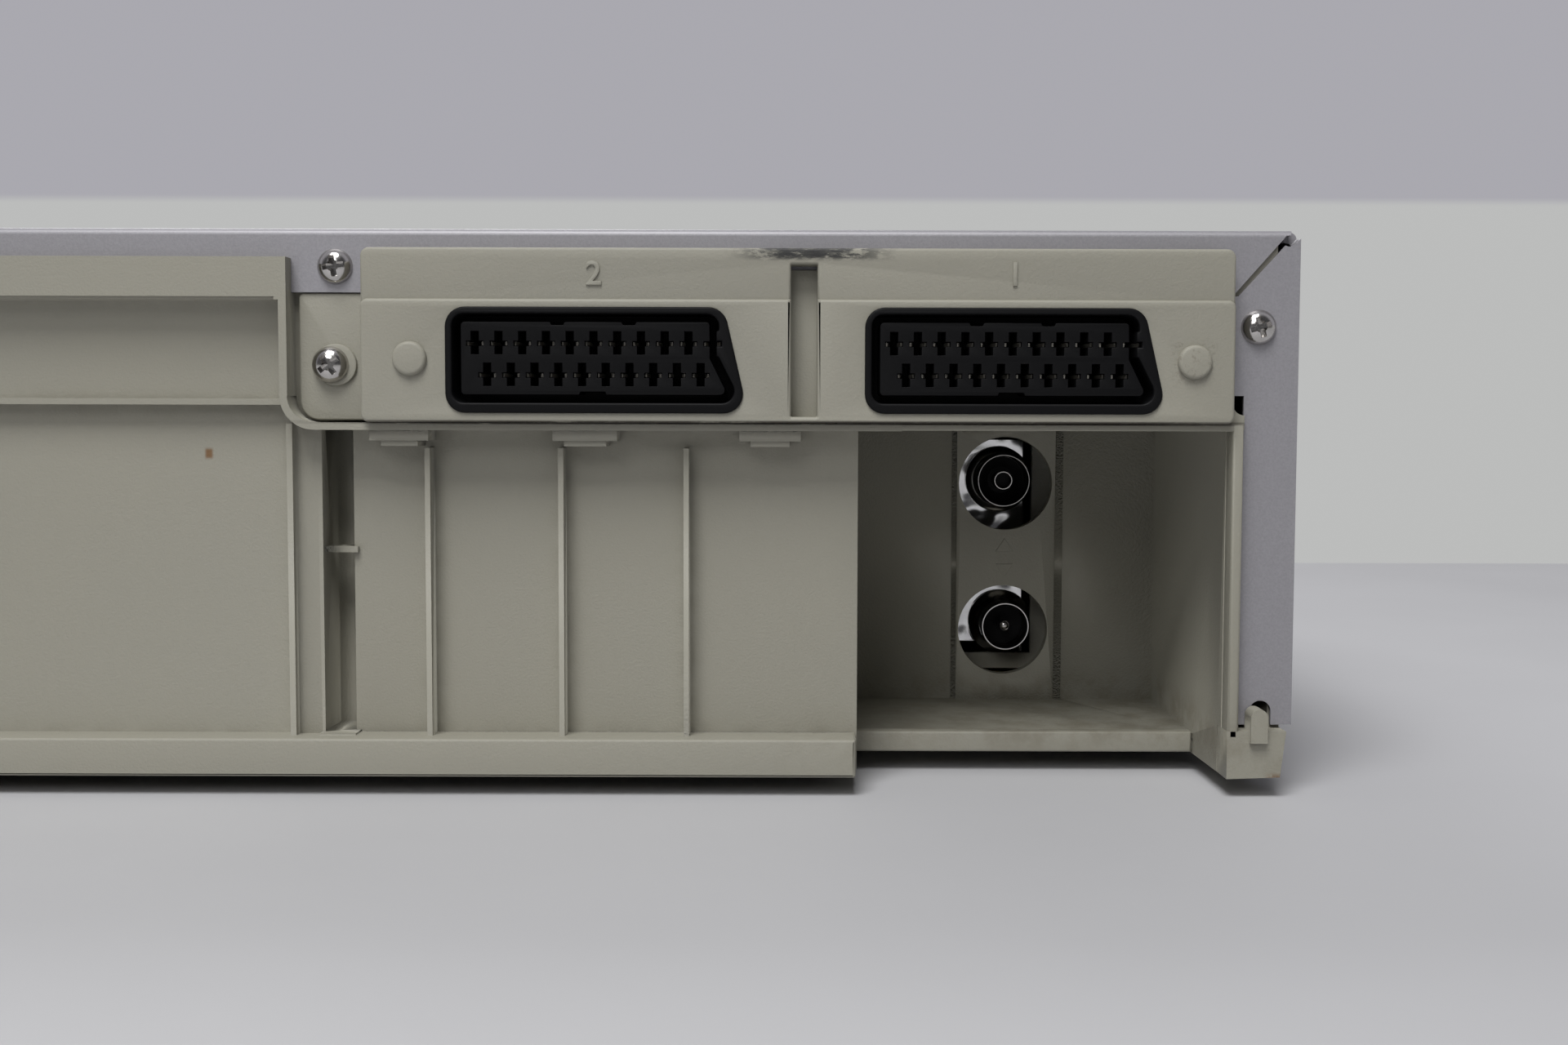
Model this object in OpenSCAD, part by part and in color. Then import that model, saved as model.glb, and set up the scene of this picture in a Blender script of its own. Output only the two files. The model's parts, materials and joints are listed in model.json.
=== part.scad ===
// Video cassette recorder that loads a half inch tape cassette from the front.
// The origin is on the table, under the middle of the machine. The front faces -Y and the rear +Y.
// Places on the rear are measured across from the edge at x = -body_w / 2, up from the table,
// and proud of the outer face of the cover's rear flanges.

/* [Body] */
// Width over the steel cover
body_w = 380; // [376:1:392]
// Depth from the power button to the pads on the terminal cover
body_d = 284; // [282:1:296]
// Height of the cover's top above the table
body_h = 92.7; // [92.7:0.1:94]
// Height of the feet below the frame
foot_h = 3; // [2.5:0.5:3]
// Thickness of the cover's steel sheet
cover_t = 0.8; // [0.6:0.1:1]
// Wall thickness of the moulded frame
wall = 2; // [1.6:0.1:2.2]
// Radius of the crown of the front panel
crown_r = 600; // [500:10:900]

/* [Rear connections] */
// Width of the tallest part of an audio and video socket
socket_w = 47.6; // [47:0.1:48]
// Height of an audio and video socket
socket_h = 17; // [16.6:0.1:17.2]
// Distance between the two audio and video sockets
socket_pitch = 67.3; // [66:0.1:69]
// Distance between neighbouring contacts of a socket
contact_pitch = 3.81; // [3.8:0.01:3.82]
// How far the raised face of the terminal cover stands proud
terminal_proud = 5.5; // [5:0.1:6]
// Depth of the bay that holds the aerial connections
bay_depth = 50; // [44:1:52]
// Outer radius of the aerial output plug
rf_plug_r = 4.75; // [4.7:0.01:4.8]
// Bore radius of the aerial input socket
aerial_bore_r = 4.78; // [4.75:0.01:4.85]

/* [Cassette loading] */
// Width of the opening for the cassette
slot_w = 194; // [192:1:196]
// Height of the opening for the cassette
slot_h = 34; // [32:1:35]
// How far the carrier drops onto the reels
drop_h = 22; // [20:1:22]
// How far the carrier runs from the front of its guides to the drop
run_in = 62; // [50:1:62]

/* [Tape path] */
// Radius of the head drum
drum_r = 31; // [30.5:0.1:31]
// Lean of the head drum
drum_tilt = 6; // [4:0.5:7]
// Distance between the two reel tables
reel_pitch = 92; // [90:1:94]
// Radius of the capstan
capstan_r = 2; // [1.5:0.1:2.5]
// Radius of the pinch roller
pinch_r = 8; // [6:0.5:8.5]

/* [Hidden] */

// Clearances: a running shaft, and a moulded part beside another.
run_gap = 0.05;
gap = 0.3;

// Planes of the case.
edge_x = -body_w / 2;
pad_proud = 6.5;
flange_y = body_d / 2 - pad_proud;
front_y = -body_d / 2;
panel_face_y = front_y + 2;
panel_back_y = front_y + 20;
base_z = foot_h;
crown_z = 50;

// Colours as the photograph shows them, and usual ones where it doesn't.
cover_colour = [0.67, 0.66, 0.69];
frame_colour = [0.69, 0.68, 0.62];
socket_colour = [0.10, 0.10, 0.11];
nickel = [0.75, 0.74, 0.72];
panel_colour = [0.62, 0.63, 0.66];
board_colour = [0.45, 0.33, 0.16];
steel = [0.62, 0.64, 0.66];
smoke = [0.08, 0.08, 0.10];

function across(a) = edge_x + a;
function proud(p) = flange_y + p;
function face_at(z) = panel_face_y + crown_r - sqrt(crown_r * crown_r - (z - crown_z) * (z - crown_z));

// A block on the rear, between two places across, two heights and two depths.
module rear_block(a0, a1, z0, z1, p0, p1) {
    translate([across(a0), proud(p0), z0]) cube([a1 - a0, p1 - p0, z1 - z0]);
}

// A plate on the rear, from an outline drawn across and up.
module rear_plate(p0, p1) {
    translate([edge_x, proud(p1), 0]) rotate([90, 0, 0]) linear_extrude(p1 - p0) children();
}

// A round hole or post along Y, at a place on the rear.
module rear_rod(a, z, r, p0, p1) {
    translate([across(a), proud(p1), z]) rotate([90, 0, 0]) cylinder(r = r, h = p1 - p0, $fn = 48);
}

// A rectangle with true round corners, from its lower left corner.
module round_rect(w, h, r) {
    translate([r, 0]) square([w - 2 * r, h]);
    translate([0, r]) square([w, h - 2 * r]);
    for (x = [r, w - r], y = [r, h - r]) translate([x, y]) circle(r = r, $fn = 32);
}

// A rectangle of which only the two upper corners are round.
module round_top(w, h, r) {
    translate([r, 0]) square([w - 2 * r, h]);
    square([w, h - r]);
    for (x = [r, w - r]) translate([x, h - r]) circle(r = r, $fn = 32);
}

// Spur gear outline with involute flanks. Tooth 0 points along X.
pressure = 20;
function involute(a) = tan(a) * 180 / PI - a;
function half_tooth(r, pitch_r, teeth, slack) = let (base_r = pitch_r * cos(pressure))
    90 / teeth - slack / pitch_r * 90 / PI + involute(pressure)
        - involute(r > base_r ? acos(base_r / r) : 0);

module gear_outline(teeth, modulus, slack) {
    pitch_r = teeth * modulus / 2;
    tip_r = pitch_r + modulus;
    root_r = pitch_r - 1.25 * modulus;
    flank = [for (t = [0, 0.3, 0.65, 1]) max(root_r, pitch_r * cos(pressure)) * (1 - t) + tip_r * t];
    side = concat([root_r], flank);
    back = [for (i = [len(side) - 1:-1:0]) side[i]];
    polygon([for (i = [0:teeth - 1], k = [0:2 * len(side) - 1])
        let (r = k < len(side) ? side[k] : back[k - len(side)],
            h = half_tooth(r, pitch_r, teeth, slack) * (k < len(side) ? -1 : 1),
            a = 360 * i / teeth + h)
        r * [cos(a), sin(a)]]);
}

// A long hole with round ends, centred.
module slot_shape(length, width) {
    square([length - width, width], center = true);
    for (s = [-1, 1]) translate([s * (length - width) / 2, 0]) circle(d = width, $fn = 32);
}

// Sheet steel cover: top, two sides and the flanges round the rear.
side_bottom = base_z + 8.5;
flange_side = 8.85;
flange_top_z = 82.3;
cover_front_y = panel_back_y + gap;
bend_r = 1.4;
side_screw = [6.65, 77.0];
top_screw = [157.4, 86.5];
screw_r = 1.4;

module cover_outline(inset) {
    translate([inset, side_bottom])
        round_top(body_w - 2 * inset, body_h - side_bottom - inset, bend_r - inset / 2);
}

// The corner cut where the side flange and the top flange meet: a thin slit and a pinhole.
module corner_cut() {
    slit = [[1.35, 91.5], [10.0, 82.0], [11.0, 82.0], [2.3, 91.9]];
    polygon(slit);
    translate([1.9, body_h - 1.7]) circle(r = 0.9, $fn = 24);
}

module flange_window() {
    wide = 13;
    polygon([[flange_side, side_bottom - 1], [flange_side, 62], [flange_side + 1.15, 62],
        [flange_side + 1.15, 65.8], [wide, 65.8], [wide, flange_top_z],
        [body_w - wide, flange_top_z], [body_w - wide, 65.8], [body_w - flange_side, 65.8],
        [body_w - flange_side, side_bottom - 1]]);
}

// The notch that drops over the hook of the frame.
hook_a = 5.2;
module hook_notch() {
    w = 3.5;
    translate([hook_a - w / 2, side_bottom - 1]) square([w, 15.5 - side_bottom + 1 - w / 2]);
    translate([hook_a, 15.5 - w / 2]) circle(d = w, $fn = 32);
}

module top_cover() {
    vent = [26, 2.4];
    color(cover_colour) difference() {
        union() {
            translate([edge_x, flange_y, 0]) rotate([90, 0, 0])
                linear_extrude(flange_y - cover_front_y) difference() {
                    cover_outline(0);
                    translate([0, -1]) cover_outline(cover_t);
                    translate([cover_t, side_bottom - 1])
                        square([body_w - 2 * cover_t, body_h - side_bottom - 8]);
                }
            rear_plate(-cover_t, 0) difference() {
                cover_outline(0);
                flange_window();
            }
        }
        rear_plate(-cover_t - 1, 1) {
            corner_cut();
            hook_notch();
            translate([body_w, 0]) mirror([1, 0]) {
                corner_cut();
                hook_notch();
            }
        }
        rear_rod(side_screw[0], side_screw[1], screw_r + 0.2, -2, 1);
        rear_rod(body_w - side_screw[0], side_screw[1], screw_r + 0.2, -2, 1);
        rear_rod(top_screw[0], top_screw[1], screw_r + 0.2, -2, 1);
        for (column = [0, 1], row = [0:13])
            translate([body_w / 2 - 58 + column * 32, -10 + row * 7, body_h - 2])
                linear_extrude(3) slot_shape(vent[0], vent[1]);
    }
}

// Moulded frame. Its rear carries the ribs, the bay for the aerial connections and the ledge.
rim_in = 1.7;
rim_top = base_z + 7.9;
floor_z = base_z + 1;
frame_front_y = panel_back_y;
lip_proud = 3.2;
lip_z = 59.9;
lip_t = 1.2;
lip_a = 164.6;
bay_a0 = 11.4;
bay_a1 = 71.8;
bay_top = 60;
ledge_top = base_z + 6.3;
mid_panel_p = -4;
left_panel_p = -3;
rf_holes = [[41.3, 49.5, 9], [41.6, 21.1, 8.65]];
inlet_place = [352, 26];
tab_screw = [158.3, 70.5];

module frame_sides() {
    for (s = [0, 1]) mirror([s, 0, 0]) {
        // The side wall inside the cover, on the rim that shows below it.
        translate([edge_x + rim_in, frame_front_y, base_z])
            cube([wall, proud(-1.2) - frame_front_y, 84 - base_z]);
        translate([edge_x + rim_in, frame_front_y, base_z])
            cube([5, proud(-1.2) - frame_front_y, 3]);
    }
}

module frame_floor() {
    inner_w = body_w - 2 * rim_in;
    hatch = [300, 168];
    translate([0, 0, floor_z]) linear_extrude(wall) difference() {
        translate([-inner_w / 2, frame_front_y])
            square([inner_w, proud(left_panel_p - 1) - frame_front_y]);
        translate([-hatch[0] / 2, -104]) square(hatch);
        translate([across(bay_a0 - 3), proud(-bay_depth - 1)])
            square([bay_a1 - bay_a0 + 4, bay_depth + 10]);
    }
    // Cross rails carry the deck and the boards over the hatch.
    for (y = [-74, 40]) translate([-inner_w / 2, y, floor_z]) cube([inner_w, 10, wall]);
    translate([-inner_w / 2, frame_front_y, base_z]) cube([inner_w, 3, 4]);
    translate([deck_posts[3][0] - 4, deck_posts[3][1] - 4, floor_z]) cube([8, 12, wall]);
}

deck_posts = [[-108, -70], [98, -70], [-108, 45], [104, 34]];
board_posts = [[-170, -69], [-170, 45], [20, 45], [20, -69]];
power_posts = [[121, -69], [178, -69], [121, 115], [178, 115]];
board_z = base_z + 6;
board_t = 1.6;
deck_z = 24;
deck_t = 1.2;

// A post on the floor, with a pilot hole for its screw.
module post(place, r, top) {
    translate([place[0], place[1], floor_z]) difference() {
        cylinder(r = r, h = top - floor_z, $fn = 32);
        translate([0, 0, 0.8]) cylinder(r = screw_r + run_gap, h = top, $fn = 32);
    }
}

module frame_posts() {
    for (p = deck_posts) post(p, 4, deck_z);
    for (p = concat(board_posts, power_posts)) post(p, 3.5, board_z);
}

module frame_bay() {
    back = -bay_depth;
    // The wall beside the side flange is thinner at its open end.
    translate([edge_x, 0, base_z]) linear_extrude(bay_top + lip_t - base_z)
        polygon([[9.1, proud(back - wall)], [12.6, proud(back - wall)], [bay_a0, proud(-0.8)],
            [bay_a0 - 0.8, proud(0)], [9.9, proud(0)], [9.1, proud(-0.8)]]);
    difference() {
        union() {
            rear_block(9.3, bay_a1 + wall, base_z, bay_top + lip_t, back - wall, back);
            rear_block(30.2, 51.6, floor_z + 2, bay_top, back - 0.5, back + 0.25);
            rear_block(31.7, 50.7, floor_z + 2, bay_top, back - 0.5, back + 0.5);
        }
        for (h = rf_holes) rear_rod(h[0], h[1], h[2], back - 5, back + 5);
    }
    rear_block(bay_a1, bay_a1 + wall, base_z, bay_top + lip_t, back - wall, mid_panel_p - 1);
    // A screen behind the holes, beside the tuner and below it.
    rear_block(rim_in + 1, can_a[0] - 1.2, board_z + board_t + 1, bay_top, back - 14.4, back - 13);
    rear_block(can_a[0] - 2, can_a[1] + 3, board_z + board_t + 1, can_z[0] - 1.8, back - 14.4, back - 13);
    rear_block(10, bay_a1 + 1, bay_top, bay_top + lip_t, back - 1, -1);
    // The floor rises a little towards the back and stops short of the opening.
    translate([across(10), 0, 0]) rotate([90, 0, 90]) linear_extrude(bay_a1 - 9)
        polygon([[proud(-18), base_z + 0.25], [proud(-18), 6.9], [proud(back - 1), 7.6],
            [proud(back - 1), base_z + 0.25]]);
}

module frame_leg(height) {
    rear_plate(-3, lip_proud)
        polygon([[2.6, base_z + 0.3], [rim_in, height], [12, height], [12, base_z]]);
}

module frame_hook() {
    w = 2.8;
    rear_plate(0.25, 5) {
        translate([hook_a + 1.2 - w / 2, 9.1]) square([w, 14.7 - 9.1 - w / 2]);
        translate([hook_a + 1.2, 14.7 - w / 2]) circle(d = w, $fn = 32);
    }
}

module frame_mid_panel() {
    ribs = [142.7, 120.8, 100.2];
    catches = [[142.0, 151.6], [111.3, 121.8], [81.4, 91.4]];
    rear_block(bay_a1, 155.8, base_z, lip_z + 1, mid_panel_p - wall, mid_panel_p);
    for (a = ribs) rear_block(a - 0.45, a + 0.45, 9, 57, mid_panel_p - 1, 0);
    for (c = catches) {
        rear_block(c[0], c[1], 58.2, lip_z + 0.5, mid_panel_p - 1, 2.4);
        rear_block(c[0] + 1.8, c[1] - 1.8, 57.3, 58.5, mid_panel_p - 1, 2.0);
    }
    // The deep slot, its back and the bar across it.
    rear_block(153.8, 155.8, base_z, lip_z + 1, -12, mid_panel_p);
    rear_block(160.5, 162.5, base_z, lip_z + 1, -12, -2);
    rear_block(153.8, 162.5, base_z, lip_z + 1, -14, -12);
    rear_block(155.0, 161.0, 39.5, 40.5, -7, -3);
    rear_block(155.0, 161.0, base_z, 9.6, -13, 0);
    rear_block(160.5, lip_a + 0.6, base_z, lip_z + 1, -4, -2);
    rear_block(lip_a + 0.2, lip_a + 1.2, 9, lip_z + 1, -4, 0);
}

module frame_left_panel() {
    a1 = body_w - 3;
    difference() {
        rear_block(lip_a + 1, a1, base_z, 64.2, left_panel_p - wall, left_panel_p);
        rear_plate(-10, 5) translate(inlet_place) round_rect_centred(20.4, 13.4, 3);
    }
    rear_block(lip_a + 1.2, a1 - 8, 63.95, 64.9, left_panel_p - wall, 0);
    rear_block(lip_a + 1.2, body_w - 11.3, 64.5, 82.2, -1.8 - wall, -1.8);
    // The overhanging block above the band has a rounded lower edge and stands before the flange.
    difference() {
        rear_block(lip_a + 0.5, body_w - 14, 80.9, 82.2, -2.5, lip_proud);
        rear_block(lip_a + 2, body_w - 5, 80, 81.4, 2.6, 5);
    }
    rear_block(lip_a + 0.5, body_w - 14, 82.1, 87.8, 0.05, lip_proud);
}

module round_rect_centred(w, h, r) {
    translate([-w / 2, -h / 2]) round_rect(w, h, r);
}

module frame_lip() {
    r = 5.5;
    rear_block(lip_a, lip_a + 1.3, lip_z + r, 87.8, 0.05, lip_proud);
    rear_block(lip_a, lip_a + 1.3, lip_z + r, 82.2, -4, lip_proud);
    rear_block(bay_a1 - 6.8, lip_a + 1.3 - r, lip_z, lip_z + lip_t, -1, lip_proud);
    rear_block(bay_a1, lip_a + 1.3 - r, lip_z, lip_z + lip_t, mid_panel_p - 1, lip_proud);
    rear_plate(-4, lip_proud) translate([lip_a + 1.3 - r, lip_z + r]) intersection() {
        difference() {
            circle(r = r, $fn = 64);
            circle(r = r - 1.25, $fn = 64);
        }
        translate([-0.1, -r - 1]) square([r + 2, r + 1.2]);
    }
    // The wall behind the tab of the terminal cover takes its screw.
    difference() {
        rear_block(152.6, lip_a + 0.5, lip_z + 0.6, 90, -4.2, -2.1);
        rear_rod(tab_screw[0], tab_screw[1], screw_r + run_gap, -20, 5);
        rear_rod(top_screw[0], top_screw[1], 3, -20, 5);
    }
}

module screw_boss(a, z, r, p0, p1) {
    difference() {
        rear_rod(a, z, r, p0, p1);
        rear_rod(a, z, screw_r + run_gap, p0 - 1, p1 + 1);
    }
}

module frame_top_beam() {
    difference() {
        rear_block(3.5, body_w - 3.5, 82.6, 90.5, -3.2, -cover_t);
        rear_rod(top_screw[0], top_screw[1], 3, -5, 2);
    }
    screw_boss(top_screw[0], top_screw[1], 3.6, -10, -cover_t);
    screw_boss(tab_screw[0], tab_screw[1], 3.6, -10, -2.1);
    for (s = [0, 1]) mirror([s, 0, 0]) difference() {
        rear_block(2.5, 11.5, 66, 83.5, -9, -cover_t);
        rear_rod(side_screw[0], side_screw[1], screw_r + run_gap, -20, 2);
    }
}

module main_frame() {
    color(frame_colour) union() {
        frame_sides();
        frame_floor();
        frame_posts();
        frame_bay();
        frame_leg(rim_top);
        frame_hook();
        mirror([1, 0, 0]) {
            frame_leg(rim_top);
            frame_hook();
        }
        frame_mid_panel();
        frame_left_panel();
        frame_lip();
        frame_top_beam();
        // The ledge along the bottom of the rear.
        rear_block(bay_a1 + 0.4, body_w - 5, base_z, ledge_top, -5, lip_proud);
    }
}

// Pressed steel plate over the hatch in the floor, with cooling holes.
module bottom_plate() {
    color(steel) difference() {
        translate([-153, -107, base_z + 0.1]) cube([306, 174, foot_h + 1 - base_z - 0.1]);
        for (x = [-120:20:120], y = [-85:17:50])
            translate([x, y, 0]) linear_extrude(10) slot_shape(12, 3);
    }
}

foot_places = [[-168, -108], [168, -108], [-168, 72], [168, 72]];
module feet() {
    // Each has a chamfered sole with a moulding recess in it.
    color([0.12, 0.12, 0.12]) for (p = foot_places) translate([p[0], p[1], 0])
        rotate_extrude($fn = 48)
            polygon([[3, 0], [7.2, 0], [8, 0.8], [8, floor_z], [0, floor_z], [0, 0.8], [3, 0.8]]);
}

// Cover of the audio and video connections.
terminal_a = [11.7, 152.2];
terminal_z = [61.2, 89.2];
terminal_t = 1.8;
step_z = 81.0;
pads = [[144.2, 71.4], [18.3, 71.1]];
gap_a = [78.85, 83.05];

// The outline of a socket, from the middle of its left edge as the rear is seen. One end slants.
socket_a = 71.2;
socket_z = 62.6;
module socket_outline(grow, r) {
    left = socket_a + grow;
    top = socket_z + socket_h + grow;
    bottom = socket_z - grow;
    hull() {
        translate([left - r, top - r]) circle(r = r, $fn = 32);
        translate([left - r, bottom + r]) circle(r = r, $fn = 32);
        translate([socket_a - socket_w + 2.9 + r * 0.9 - grow, top - r]) circle(r = r, $fn = 32);
        translate([socket_a - socket_w + r - grow, bottom + r]) circle(r = r, $fn = 32);
    }
}

module av_terminal_cover() {
    w = terminal_a[1] - terminal_a[0];
    h = terminal_z[1] - terminal_z[0];
    color(frame_colour) difference() {
        union() {
            // The raised face, stepped at the crease.
            rear_plate(0.1, terminal_proud - 0.5) translate([terminal_a[0], terminal_z[0]])
                round_rect(w, h, 1.4);
            rear_plate(0.2, terminal_proud) translate([terminal_a[0], terminal_z[0]])
                round_rect(w, step_z - terminal_z[0], 1.2);
            rear_block(terminal_a[0] + 2, terminal_a[1], terminal_z[0] + 0.2, flange_top_z - 0.3, -1.6, 1);
            // The tab that takes the screw.
            rear_plate(-2.0, -0.4) translate([151, 61.5]) round_rect(12.5, 20.7, 3.2);
            rear_plate(-2.0, 0.3) translate([tab_screw[0] - 0.8, tab_screw[1]]) circle(d = 6.9, $fn = 48);
            for (p = pads) rear_rod(p[0], p[1], 2.75, 1, pad_proud);
        }
        // The hollow behind the face.
        rear_plate(-5, terminal_proud - 0.5 - terminal_t)
            translate([terminal_a[0] + terminal_t + 2, terminal_z[0] + terminal_t])
                square([w - 2 * terminal_t - 2, flange_top_z - 0.6 - terminal_z[0] - 2 * terminal_t]);
        rear_plate(-5, 10) socket_outline(0.25, 3);
        rear_plate(-5, 10) translate([socket_pitch, 0]) socket_outline(0.25, 3);
        rear_plate(0, 10) translate([gap_a[0], 62.2])
            square([gap_a[1] - gap_a[0], 86.6 - 62.2]);
        rear_rod(tab_screw[0], tab_screw[1], screw_r + 0.2, -5, 5);
    }
    // The posts behind the pads hold the board.
    color(frame_colour) for (p = pads) rear_rod(p[0], p[1], 2.4, -14, 4);
    color(frame_colour) rear_block(gap_a[0] - 1, gap_a[1] + 1, 62, 86, 0.15, 0.9);
}

// Audio and video socket: rim, groove for the plug's shell, and the island with its contact holes.
rim_t = 1.25;
groove_t = 1.3;
socket_back = -12;
contact_top_z = 73.8;
contact_low_z = 68.7;

module contact_hole() {
    square([1.2, 3.85], center = true);
    square([2.75, 0.7], center = true);
}

function contact_places() = concat(
    [for (i = [0:10]) [66.5 - i * contact_pitch, contact_top_z]],
    [for (i = [0:9]) [64.55 - i * contact_pitch, contact_low_z]]);

module av_socket(shift) {
    island_p = 5.2;
    color(socket_colour) translate([shift, 0, 0]) difference() {
        union() {
            rear_plate(socket_back, 6) difference() {
                socket_outline(0, 3);
                socket_outline(-rim_t, 2);
            }
            rear_plate(socket_back, -2.5) socket_outline(-0.5, 3);
            rear_plate(socket_back, island_p) difference() {
                socket_outline(-rim_t - groove_t, 1.2);
                island_cuts();
            }
        }
        rear_plate(-6, 10) for (c = contact_places()) translate(c) contact_hole();
    }
}

// Notches in the island, for the ribs inside a plug's shell.
module island_cuts() {
    top = socket_z + socket_h - rim_t - groove_t;
    for (a = [58.6, 48.3, 44.0]) translate([a - 1.1, top - 1.3]) square([2.2, 3]);
    translate([50.5, socket_z + rim_t + groove_t - 1]) square([4.4, 1.7]);
}

module av_socket_1() { av_socket(0); }
module av_socket_2() { av_socket(socket_pitch); }

// Spring contacts: two leaves in each hole.
module av_contacts() {
    color(nickel) for (shift = [0, socket_pitch], c = contact_places(), s = [-1, 1])
        rear_block(shift + c[0] + s * 0.95 - 0.18, shift + c[0] + s * 0.95 + 0.18,
            c[1] - 0.25, c[1] + 0.25, -6, 2.5);
}

module av_board() {
    color(board_colour) difference() {
        rear_block(13.5, 150, 62.6, 81, -14 - board_t, -14);
        for (p = pads) rear_rod(p[0], p[1], 1.2, -20, 0);
    }
    color(frame_colour) for (shift = [0, socket_pitch])
        rear_block(shift + 30, shift + 68, 64, 78, -14, socket_back);
}

// Tuner and aerial connections.
can_a = [35.5, 53.5];
can_z = [16.5, 58];
can_p = [-128, -66];
aerial_place = [40.8, 49.8];
rf_place = [40.2, 20.9];
rf_tip = -56;

module tuner_can() {
    color([0.8, 0.8, 0.8]) difference() {
        union() {
            rear_block(can_a[0], can_a[1], can_z[0], can_z[1], can_p[0], can_p[1]);
            for (a = [can_a[0], can_a[1] - 0.8], p = [can_p[0], can_p[1] - 5])
                rear_block(a, a + 0.8, board_z + board_t, can_z[0] + 1, p, p + 5);
        }
        for (z = [can_z[0] + 14, can_z[0] + 30])
            rear_block(can_a[0] - 1, can_a[0] + 0.4, z, z + 0.8, can_p[0] + 4, can_p[1] - 4);
    }
}

module aerial_socket() {
    color(nickel) difference() {
        union() {
            rear_rod(aerial_place[0], aerial_place[1], 5.25, can_p[1], rf_tip);
        }
        difference() {
            rear_rod(aerial_place[0], aerial_place[1], aerial_bore_r, can_p[1] + 1, rf_tip + 1);
            rear_rod(aerial_place[0], aerial_place[1], 1.9, can_p[1], rf_tip - 1);
        }
        rear_rod(aerial_place[0], aerial_place[1], 1.2, can_p[1] + 2, rf_tip + 1);
    }
}

module rf_out_plug() {
    color(nickel) {
        difference() {
            rear_rod(rf_place[0], rf_place[1], rf_plug_r, can_p[1], rf_tip);
            rear_rod(rf_place[0], rf_place[1], rf_plug_r - 0.5, can_p[1] + 1, rf_tip + 1);
        }
        rear_rod(rf_place[0], rf_place[1], 1.15, can_p[1] + 0.5, rf_tip - 1);
    }
}

// Pan head screw with a cross recess, its head's underside at the origin and its head along +Z.
module pan_screw(head_r, head_h, length) {
    recess = [head_r * 1.1, 0.7, head_h];
    difference() {
        union() {
            cylinder(r = screw_r, h = 0.1, $fn = 32);
            translate([0, 0, -length]) cylinder(r = screw_r, h = length + 0.1, $fn = 32);
            cylinder(r1 = head_r, r2 = head_r - 0.2, h = head_h * 0.6, $fn = 40);
            translate([0, 0, head_h * 0.6])
                cylinder(r1 = head_r - 0.2, r2 = head_r * 0.62, h = head_h * 0.4, $fn = 40);
        }
        for (t = [0, 90]) rotate([0, 0, t]) translate([0, 0, head_h])
            cube(recess, center = true);
    }
}

module rear_screw(a, z, p, head_r) {
    translate([across(a), proud(p), z]) rotate([-90, 0, 0]) pan_screw(head_r, 2, 7);
}

module screws() {
    color(nickel) {
        rear_screw(side_screw[0], side_screw[1], 0, 2.75);
        rear_screw(body_w - side_screw[0], side_screw[1], 0, 2.75);
        rear_screw(top_screw[0], top_screw[1], 0, 2.75);
        rear_screw(tab_screw[0], tab_screw[1], 0.3, 2.85);
        for (p = deck_posts) translate([p[0], p[1], deck_top]) pan_screw(3, 2, 8);
        for (p = concat(board_posts, power_posts))
            translate([p[0], p[1], board_z + board_t]) pan_screw(2.8, 1.8, 4.4);
    }
}

// Circuit boards.
chips = [[-150, -40, 34, 10], [-150, 20, 26, 8], [-60, 70, 40, 14], [-40, 96, 26, 8], [4, 96, 30, 10],
    [60, 92, 24, 8], [-60, -60, 30, 10], [-120, -96, 30, 10], [20, -92, 26, 8]];
plugs = [[-176, -96, 22], [-96, 108, 30], [40, 108, 22], [72, -106, 26]];
module chip(w, d) {
    cube([w, d, 3.4]);
    for (i = [0:floor(w / 2.54) - 1]) translate([1 + i * 2.54, -1.2, 0]) cube([0.5, d + 2.4, 1.6]);
}

module main_board() {
    color([0.1, 0.1, 0.1]) translate([0, 0, board_z + board_t - 0.1]) {
        for (c = chips) translate([c[0], c[1], 0]) chip(c[2], c[3]);
        for (c = plugs) translate([c[0], c[1], 0]) difference() {
            cube([c[2], 6, 7]);
            translate([1, 1, 2]) cube([c[2] - 2, 4, 6]);
        }
    }
    color(board_colour) translate([0, 0, board_z]) linear_extrude(board_t) difference() {
        polygon([[-183, -112], [108, -112], [108, 118], [-112, 118], [-112, 78], [-183, 78]]);
        for (p = deck_posts) translate([p[0], p[1]]) circle(r = 4.6, $fn = 32);
        for (p = board_posts) translate([p[0], p[1]]) circle(r = screw_r + 0.3, $fn = 32);
    }
}

module power_board() {
    color(board_colour) translate([0, 0, board_z]) linear_extrude(board_t) difference() {
        polygon([[112, -80], [184, -80], [184, 121], [112, 121]]);
        for (p = power_posts) translate([p[0], p[1]]) circle(r = screw_r + 0.3, $fn = 32);
    }
}

module mains_inlet() {
    depth = 11;
    color(socket_colour) difference() {
        union() {
            rear_plate(left_panel_p - 16, left_panel_p + 0.2)
                translate(inlet_place) round_rect_centred(20, 13, 2.8);
            rear_plate(left_panel_p, left_panel_p + 1.6)
                translate(inlet_place) round_rect_centred(24, 17, 3);
        }
        rear_plate(left_panel_p - depth, 5) translate(inlet_place) figure_eight();
    }
    color(nickel) for (s = [-1, 1])
        rear_rod(inlet_place[0] + s * 4.3, inlet_place[1], 1.2, left_panel_p - depth - 2, left_panel_p - 1);
}

module figure_eight() {
    for (s = [-1, 1]) translate([s * 3.9, 0]) circle(r = 4.1, $fn = 40);
    square([7.8, 7.4], center = true);
}

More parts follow.
